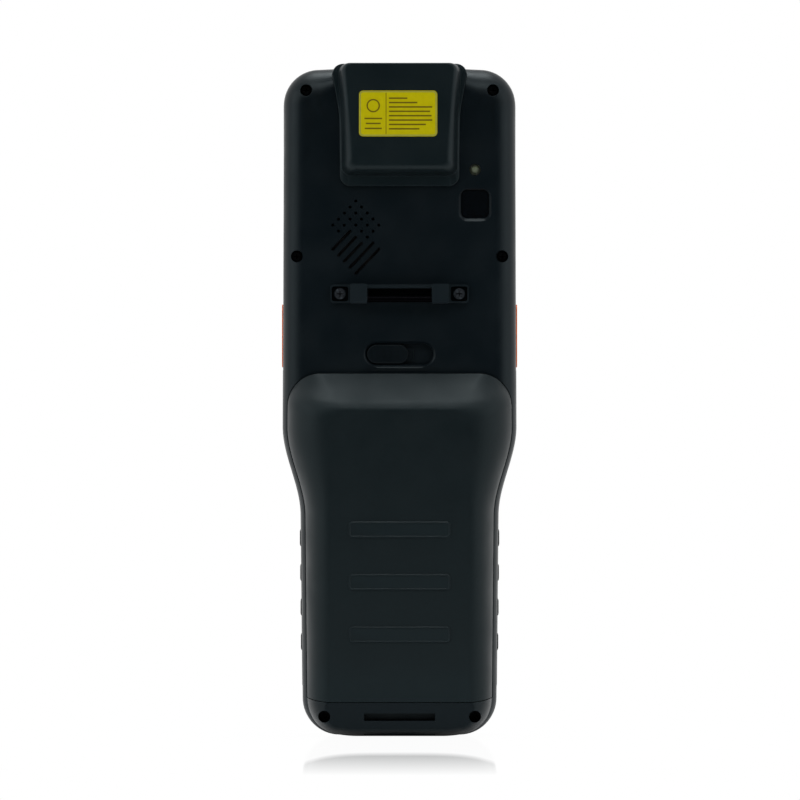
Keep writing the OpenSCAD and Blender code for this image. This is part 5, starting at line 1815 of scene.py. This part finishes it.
    def flank_tools(self) -> list[Piece]:
        """Tools for the side keys and the port.

        Returns:
            The tools.
        """
        plan, gap, tools = self.plan, 2 * self.key_gap, []
        length, width, z = self.side_key
        x, wall = float(plan.half_width(z)), plan.wall
        for side in Side:
            for grown, start, end in ((0, wall + 1, -2), (1, wall + 6.4, wall)):
                ends = sorted((side.value * (x - start), side.value * (x - end)))
                tools.append(self.side_pill(width + 1.2 * grown + gap, length + 1.6 * grown + gap, ends))
        length, width, depth, z = self.port
        x, y, half = -float(plan.half_width(z)), plan.side_y, length / 2 + 0.15
        room = y - width / 2 - 0.35, y + width / 2 + 0.15, z - half, z + half
        tools.append(block("flap_room", depth + 1.3, *room, x + depth / 2 - 0.35))
        width, length = self.socket
        hole = y - width / 2, y + width / 2, z - length / 2, z + length / 2
        tools.append(block("port_hole", 5, *hole, x + 1.5))
        return tools

    def build_rear(self) -> None:
        """Make the rear shell."""
        plan, shell, features = self.plan, self.rear_form(), self.features
        carve(shell, self.rear_room())
        bosses = joined("head_bosses", features.bosses(low=False))
        carve(bosses, [self.head_form(plan.wall / 2)], Carve.KEEP)
        carve(shell, [bosses, *features.bosses(low=True), *self.latch.casing_added()], Carve.ADD)
        width, depth, low, high = self.strap_pocket
        tools = [block("strap_pocket", width, plan.back_y - 0.5, plan.back_y + depth, low, high)]
        for group in (self.cover, self.latch, self.scan, features):
            tools += group.casing_tools()
        carve(shell, tools + self.foot_tools() + self.flank_tools())
        self.add(soften(shell, 0.15), "casing_plastic", FIXED, ["rear_housing"])

    def build_front(self, keypad: "Keypad", trim: "Trim") -> None:
        """Make the front shell with its display recess, key holes and rubber seats.

        Args:
            keypad: The keys that need holes.
            trim: The rubber that needs seats.
        """
        plan = self.plan
        outline = plan.casing()
        rings = [outline.ring(plan.part_y)]
        for turn in np.radians(np.linspace(0, 90, 10)):
            depth = plan.front_r * (1 - math.cos(turn))
            rings.append(outline.inset(depth).ring(plan.face_y - plan.front_r * (1 - math.sin(turn))))
        shell = loft("front_shell", rings, laddered=True)
        room = outline.inset(plan.wall).ring(plan.part_y - 1), outline.inset(plan.wall).ring(plan.inner_y)
        carve(shell, [loft("front_room", room, laddered=True)])
        (width, height, z), (view_w, view_h) = self.lens, self.view
        inner, top = plan.inner_y - 1, plan.face_y + 1
        (light_r, light_x), ear_z = self.light, z + height / 2 + self.ear_up
        tools = [
            slab("lens_seat", width + 0.2, height + 0.2, 3, plan.face_y - self.lens_t - 0.1, top, 0, z),
            slab("view_hole", view_w + 0.6, view_h + 0.6, 1, inner, plan.face_y, 0, z + 1.5),
            slab("ear_slot", *self.ear_slot, inner, top, 0, ear_z),
            peg("light_hole", light_r, inner, top, light_x, ear_z, 32),
            *keypad.holes(inner, top),
            *trim.seats(),
        ]
        carve(shell, tools)
        self.add(soften(shell, 0.14), "casing_plastic", FIXED, ["front_housing"])

    def build(self) -> None:
        """Make the rear shell; the front one needs the keypad and the trim too."""
        self.build_rear()


# ---------------------------------------------------------------- rubber trim


@dataclass
class Trim(SubAssembly):
    """Rubber bumper round the head and ribbed grips on the flanks."""

    bumper_z: float = 165.8
    bumper_in: float = 2.5
    out: float = 0.2
    grip_low: float = 14.0
    grip_high: float = 103.6
    rib_z: Sequence[float] = (26.4, 36.25, 46.1, 55.95)
    rib_y: float = 3.125
    rib_w: float = 4.75
    rib_h: float = 4.9
    rib_out: float = 0.3

    def bumper_path(self) -> np.ndarray:
        """Path of the bumper, from its left end over the head to its right end.

        Returns:
            The points of the path.
        """
        right = self.plan.casing().points[: 8 + 17]
        end = np.array([[self.plan.head_w / 2, self.bumper_z]])
        return np.vstack([end * (-1, 1), right[::-1] * (-1, 1), right, end])

    def bumper_section(self, gap: float) -> np.ndarray:
        """The bumper's section, or the cut that it sits in.

        Args:
            gap: Gap round the rubber for the cut, or 0 for the rubber itself.

        Returns:
            Points as distance out of the path and depth along Y.
        """
        out, up, inner = self.out + (2 if gap else 0), 3 if gap else 0, self.bumper_in + gap
        low, face, front = self.plan.part_y + 0.2 - gap, self.plan.face_y - 0.9 - gap, self.plan.front_y + up
        line = [
            (-1 - gap, face), (-1 - gap, low), (out, low), (out, front - 1.2),
            (0 if gap else -0.25, front - 0.35), (-0.9, front), (-1.9, front),
            (-inner, front - 0.7), (-inner, face),
        ]
        return np.array(line) if gap else eased_corners(line, 0.3, 3)

    def grip_path(self, side: Side) -> np.ndarray:
        """Path of a side grip along a flank.

        Args:
            side: The flank.

        Returns:
            The points of the path.
        """
        z = np.linspace(self.grip_high, self.grip_low, 61)
        line = np.stack([self.plan.half_width(z), z], 1)
        return line if side is Side.RIGHT else line[::-1] * (-1, 1)

    def grip_section(self, gap: float) -> np.ndarray:
        """A side grip's section, or the cut that it sits in.

        Args:
            gap: Gap round the rubber for the cut, or 0 for the rubber itself.

        Returns:
            Points as distance out of the path and depth along Y.
        """
        y0, y1 = self.plan.part_y + 0.25 - gap, self.plan.part_y + 6 + gap
        inner, out = -0.9 - gap, self.out + (2 if gap else 0)
        return np.array([(inner, y0), (out, y0), (out, y1), (inner, y1)])

    def seats(self) -> list[Piece]:
        """Tools for the seats of the rubber in the front shell.

        Returns:
            The tools.
        """
        gap = self.plan.seat_gap
        seats = [band("bumper_seat", self.bumper_path(), self.bumper_section(gap))]
        return seats + [band("grip_seat", self.grip_path(side), self.grip_section(gap)) for side in Side]

    def rib(self, side: Side, z: float) -> Piece:
        """One raised rib of a side grip.

        Args:
            side: The flank that it's on.
            z: Height of its middle.

        Returns:
            The rib.
        """
        x, y = float(self.plan.half_width(z)), self.plan.part_y + self.rib_y
        width, height, rings = self.rib_w, self.rib_h, []
        for inset, out in ((0, -0.5 - self.out), (0, 0.05), (0.25, 0.2), (0.7, self.rib_out)):
            shape = Outline.rounded(width - 2 * inset, height - 2 * inset, 1.1 - inset / 2, y, z, 5)
            rings.append(shape.sideways(side.value * (x + self.out + out)))
        return loft("rib", rings)

    def build(self) -> None:
        """Make the bumper and both grips."""
        bumper = band("bumper_rubber", self.bumper_path(), self.bumper_section(0))
        self.add(soften(bumper, 0.12), "trim_rubber", FIXED, ["top_bumper"])
        for side in Side:
            name = side.name.lower()
            strip = band(f"grip_strip_{name}", self.grip_path(side), self.grip_section(0))
            grip = joined(f"grip_rubber_{name}", [strip, *(self.rib(side, z) for z in self.rib_z)])
            self.add(soften(grip, 0.15), "trim_rubber", FIXED, [f"side_grip_{name}"])


# ---------------------------------------------------------------- keypad


@dataclass
class Keypad(SubAssembly):
    """Number, function and scan keys with their plain signs, and the holes of all the keys."""

    gap: float = 0.25
    rise: float = 1.4
    number: tuple[float, float] = (11.0, 6.4)
    pitch: tuple[float, float] = (14.2, 9.0)
    number_z: float = 18.5
    function: tuple[float, float] = (8.5, 6.6)
    function_x: float = 18.2
    function_z: tuple[float, float] = (69.0, 82.5)
    scan: tuple[float, float, float] = (23.0, 7.6, 56.8)
    middle_z: float = 76.0
    ring_r: float = 11.2
    sign_size: float = 4.2
    sign_t: float = 0.012

    def caps(self) -> dict[str, tuple[float, float, float, float, float]]:
        """Places and sizes of the moulded caps.

        Returns:
            Each cap's middle, width, height and corner radius, by the name of its key.
        """
        width, height, z = self.scan
        made = {"key_scan": (0.0, z, width, height, 2.8)}
        (low, high), x = self.function_z, self.function_x
        spots = {"soft_left": (x, high), "soft_right": (-x, high), "back": (x, low), "enter": (-x, low)}
        for name, spot in spots.items():
            made[f"key_{name}"] = (*spot, *self.function, 1.2)
        for index, name in enumerate((*range(1, 10), "star", 0, "hash")):
            row, column = divmod(index, 3)
            at_z = self.number_z + (3 - row) * self.pitch[1]
            made[f"key_{name}"] = ((1 - column) * self.pitch[0], at_z, *self.number, 1.5)
        return made

    def holes(self, y0: float, y1: float) -> list[Piece]:
        """Tools for the key holes.

        Args:
            y0: Depth where they start.
            y1: Depth where they end.

        Returns:
            The tools.
        """
        grown = 2 * self.gap
        tools = [peg("ring_hole", self.ring_r + self.gap, y0, y1, 0, self.middle_z, 96)]
        for x, z, width, height, radius in self.caps().values():
            tools.append(slab("key_hole", width + grown, height + grown, radius + 0.2, y0, y1, x, z))
        return tools

    def cap(self, name: str, x: float, z: float, width: float, height: float, radius: float) -> Piece:
        """A crowned key cap with its flange behind the face.

        Args:
            name: Name of the piece.
            x: Middle, along X.
            z: Middle, along Z.
            width: Width of the cap.
            height: Height of the cap.
            radius: Corner radius.

        Returns:
            The cap.
        """
        flange = self.plan.inner_y - 0.35
        top = self.plan.face_y + self.rise
        steps = [
            (-0.5, flange - 0.8), (-0.5, flange), (0, flange + 0.01), (0, top - 0.55), (0.08, top - 0.34),
            (0.26, top - 0.17), (0.55, top - 0.09), (1.1, top - 0.04), (2.0, top),
        ]
        rings = []
        for inset, y in steps:
            corner = max(0.3, radius - inset * 0.6)
            rings.append(Outline.rounded(width - 2 * inset, height - 2 * inset, corner, x, z, 7).ring(y))
        return loft(name, rings)

    def legend(self, name: str, sign: str, x: float, z: float) -> Piece:
        """A flat printed sign on top of a cap, read from the front.

        Args:
            name: Name of the piece.
            sign: The sign.
            x: Middle, along X.
            z: Middle, along Z.

        Returns:
            The sign as a thin piece.
        """
        text = bpy.data.curves.new(name, "FONT")
        text.body, text.size, text.extrude = sign, self.sign_size * MM, self.sign_t * MM
        text.align_x = text.align_y = "CENTER"
        made = bpy.data.objects.new(name, text)
        bpy.context.scene.collection.objects.link(made)
        bpy.context.view_layer.update()
        mesh = bpy.data.meshes.new_from_object(made.evaluated_get(bpy.context.evaluated_depsgraph_get()))
        bpy.data.objects.remove(made)
        turn = Euler((math.pi / 2, 0, math.pi)).to_matrix().to_4x4()
        turn.translation = Vector((x, self.plan.face_y + self.rise + self.sign_t / 2, z)) * MM
        mesh.transform(turn)
        made = bpy.data.objects.new(name, mesh)
        bpy.context.scene.collection.objects.link(made)
        return made

    def build(self) -> None:
        """Make the caps and their signs."""
        signs = {"key_star": "*", "key_hash": "#"}
        for name, (x, z, *size) in self.caps().items():
            is_number = size[0] == self.number[0]
            slot = "key_orange" if name == "key_scan" else "key_grey" if is_number else "key_dark"
            self.add(soften(self.cap(f"{name}_cap", x, z, *size), 0), slot, name, [name])
            if is_number:
                sign = self.legend(f"{name}_sign", signs.get(name, name[-1]), x, z)
                self.add(sign, "key_dark", name, finish=INK_DARK)


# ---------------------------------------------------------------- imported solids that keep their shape


@dataclass
class PackedSolids(SubAssembly):
    """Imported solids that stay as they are, with rounded edges and their own finishes."""

    rounding: dict[str, float] = field(
        default_factory=lambda: {
            "strap_pin": 0.1, "battery_pack": 0.4, "label_plate": 0.04,
            "camera_window": 0.1, "flash_lens": 0.12, "housing_screws": 0.12, "bracket_screws": 0.12,
            "side_key_left": 0.35, "side_key_right": 0.35, "port_flap": 0.3, "display_lens": 0.15,
            "key_ok": 0.25, "key_up": 0.25, "key_right": 0.25, "key_down": 0.25, "key_left": 0.25,
            "dock_contacts": 0.1, "usb_socket": 0.1, "status_light": 0.1, "latch_plate": 0.1,
            "scan_engine": 0.2, "scan_window": 0.08, "battery_contacts": 0.08,
        }
    )

    own: dict[str, Finish] = field(
        default_factory=lambda: {"bracket_screws": SCREW_RUBBED, "status_light": LIGHT_PIPE}
    )

    def build(self) -> None:
        """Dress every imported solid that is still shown."""
        slots = {part["node"]: part["material_slot"] for part in frame["record"]["subparts"]}
        for name, node in frame["nodes"].items():
            if node.hide_render:
                continue
            self.own.get(name, FINISH_OF_SLOT[slots[name]]).dress(node)
            soften(node, self.rounding.get(name, 0), weld=True)
            self.made.append(node)


# ---------------------------------------------------------------- studio


@dataclass(frozen=True)
class Lamp:
    """A soft box: its place, what it faces, its size in metres and its power."""

    name: str
    place: tuple[float, float, float]
    faces: tuple[float, float, float]
    size: tuple[float, float]
    watts: float

    def hang(self) -> None:
        """Put the lamp in the scene."""
        light = bpy.data.lights.new(self.name, "AREA")
        light.shape = "RECTANGLE"
        light.size, light.size_y = self.size
        light.energy = self.watts
        lamp = bpy.data.objects.new(self.name, light)
        lamp.location = self.place
        way = Vector(self.faces) - Vector(self.place)
        lamp.rotation_euler = way.to_track_quat("-Z", "Y").to_euler()
        bpy.context.scene.collection.objects.link(lamp)


@dataclass
class Studio:
    """Pale floor, soft light and the camera."""

    middle: tuple[float, float] = (0.12, 95.14)
    view_height: float = 225.4
    focal_length: float = 300.0
    sensor: float = 36.0
    near_plane: float = -10.0
    side_level: float = 0.85
    front_level: float = 0.01
    walls: tuple[float, float] = (-0.7, 0.1)
    wall_colour: Colour = (0.96, 0.985, 1.0)
    floor_colour: Colour = (0.86, 0.87, 0.87)
    shine: tuple[float, float] = (0.96, 0.36)
    far_level: float = 1.045
    floor_reach: tuple[float, float, float] = (0.7, 0.36, 0.9)
    fade: tuple[float, float, float] = (0.086, 0.108, 0.2)
    bow: float = 1.13e5
    lamps: tuple[Lamp, ...] = (
        Lamp("lamp_left", (-0.95, -0.62, 0.5), (0, 0, 0.1), (0.9, 0.9), 3.7),
        Lamp("lamp_right", (0.95, -0.62, 0.5), (0, 0, 0.1), (0.9, 0.9), 3.3),
        Lamp("lamp_front", (0, -0.8, 0.95), (0, 0, 0.1), (0.9, 0.3), 3.4),
        Lamp("lamp_top", (0, 0.02, 1.0), (0, 0, 0.1), (0.5, 0.5), 4.8),
    )

    def camera(self) -> None:
        """Place the camera behind the terminal, level with its middle."""
        distance = self.view_height * self.focal_length / self.sensor
        data = bpy.data.cameras.new("view")
        data.lens = self.focal_length
        data.sensor_width = self.sensor
        data.clip_start, data.clip_end = 0.05, 50
        camera = bpy.data.objects.new("view", data)
        camera.location = Vector((self.middle[0], self.near_plane - distance, self.middle[1])) * MM
        camera.rotation_euler = (math.pi / 2, 0, 0)
        bpy.context.scene.collection.objects.link(camera)
        bpy.context.scene.camera = camera

    def floor(self) -> None:
        """Lay the pale floor, whose shine and shadow fade into the white surround."""
        wide, near, far = (reach / MM for reach in self.floor_reach)
        corners = np.array([(-wide, -near, 0), (wide, -near, 0), (wide, far, 0), (-wide, far, 0)])
        floor = new_piece("floor", corners, [(0, 1, 2, 3)])
        sheet = MaterialSheet("floor_white")
        sheet.coat((*self.floor_colour, 1), 0.06, Specular_IOR_Level=0.4)
        sheet.bump(sheet.noise(9, 2), 0.003)
        glow = sheet.node("Emission", {"Color": (1, 1, 1, 1)})
        rays = sheet.node("LightPath").outputs
        away, ahead = sheet.distance((0, 0, 0), (1, 1, 1)), sheet.distance((0, 0, 0), (0, 1, 0))
        aside = sheet.math("POWER", sheet.distance((0, 0, 0), (1, 0, 0)), 4.0)
        ahead = sheet.math("SUBTRACT", ahead, sheet.math("MULTIPLY", aside, self.bow))
        start, full, end = self.fade
        near_shine = sheet.ranged(ahead, 0, 1, start, full)
        shine = sheet.math("MULTIPLY", near_shine, sheet.ranged(away, 1, 0, full, end))
        clear = sheet.math("MAXIMUM", rays["Is Camera Ray"], rays["Is Transmission Ray"])
        clear = sheet.math("MULTIPLY", clear, sheet.ranged(shine, *self.shine, 0, 1))
        clear = sheet.math("MULTIPLY", clear, sheet.ranged(away, 1, self.far_level, full, end))
        glint = sheet.math("MULTIPLY", rays["Is Glossy Ray"], sheet.ranged(away, 0.0, 1.0, 0.01, start))
        share = sheet.math("MAXIMUM", clear, glint)
        sheet.feed(sheet.output.inputs[0], sheet.mixed(share, sheet.shader.outputs[0], glow.outputs[0]))
        floor.data.materials.append(sheet.material)

    def surround(self) -> None:
        """White surround for camera, glossy and transmission rays, dark only behind the camera."""
        world = bpy.data.worlds.new("studio")
        bpy.context.scene.world = world
        sheet = NodeSheet(world)
        apart = sheet.node("SeparateXYZ", {0: sheet.node("TexCoord").outputs["Generated"]})
        levels = self.front_level, self.side_level, *self.walls
        walls = sheet.ranged(apart.outputs["Y"], *levels, interpolation_type="SMOOTHSTEP")
        rays = sheet.node("LightPath").outputs
        soft = sheet.node("Background", {"Color": (*self.wall_colour, 1), "Strength": walls})
        white = sheet.node("Background", {"Color": (1, 1, 1, 1), "Strength": 1.0})
        shine = sheet.math("MULTIPLY", rays["Is Glossy Ray"], walls)
        clear = sheet.math("MAXIMUM", rays["Is Camera Ray"], rays["Is Transmission Ray"])
        seen = sheet.math("MAXIMUM", clear, shine)
        sheet.node("OutputWorld", {0: sheet.mixed(seen, soft.outputs[0], white.outputs[0])})

    def build(self) -> None:
        """Set up the camera, the floor and the light."""
        self.camera()
        self.floor()
        self.surround()
        for lamp in self.lamps:
            lamp.hang()
        bpy.context.scene.view_settings.view_transform = "Standard"


def main() -> None:
    """Build the terminal and its studio."""
    logging.basicConfig(level=logging.INFO, format="%(message)s")
    plan = Plan()
    studio = Studio()
    studio.build()
    cover, latch, scan, features = BatteryCover(plan), Latch(plan), ScanHead(plan), BackFeatures(plan)
    keypad, trim = Keypad(plan), Trim(plan)
    casing = Casing(plan, cover, latch, scan, features)
    casing.build()
    casing.build_front(keypad, trim)
    for group in (cover, latch, scan, features, trim, keypad):
        group.build()
    packed = PackedSolids(plan)
    packed.build()
    for group in (casing, cover, latch, scan, features, trim, keypad, packed):
        group.report()


if __name__ == "__main__":
    main()
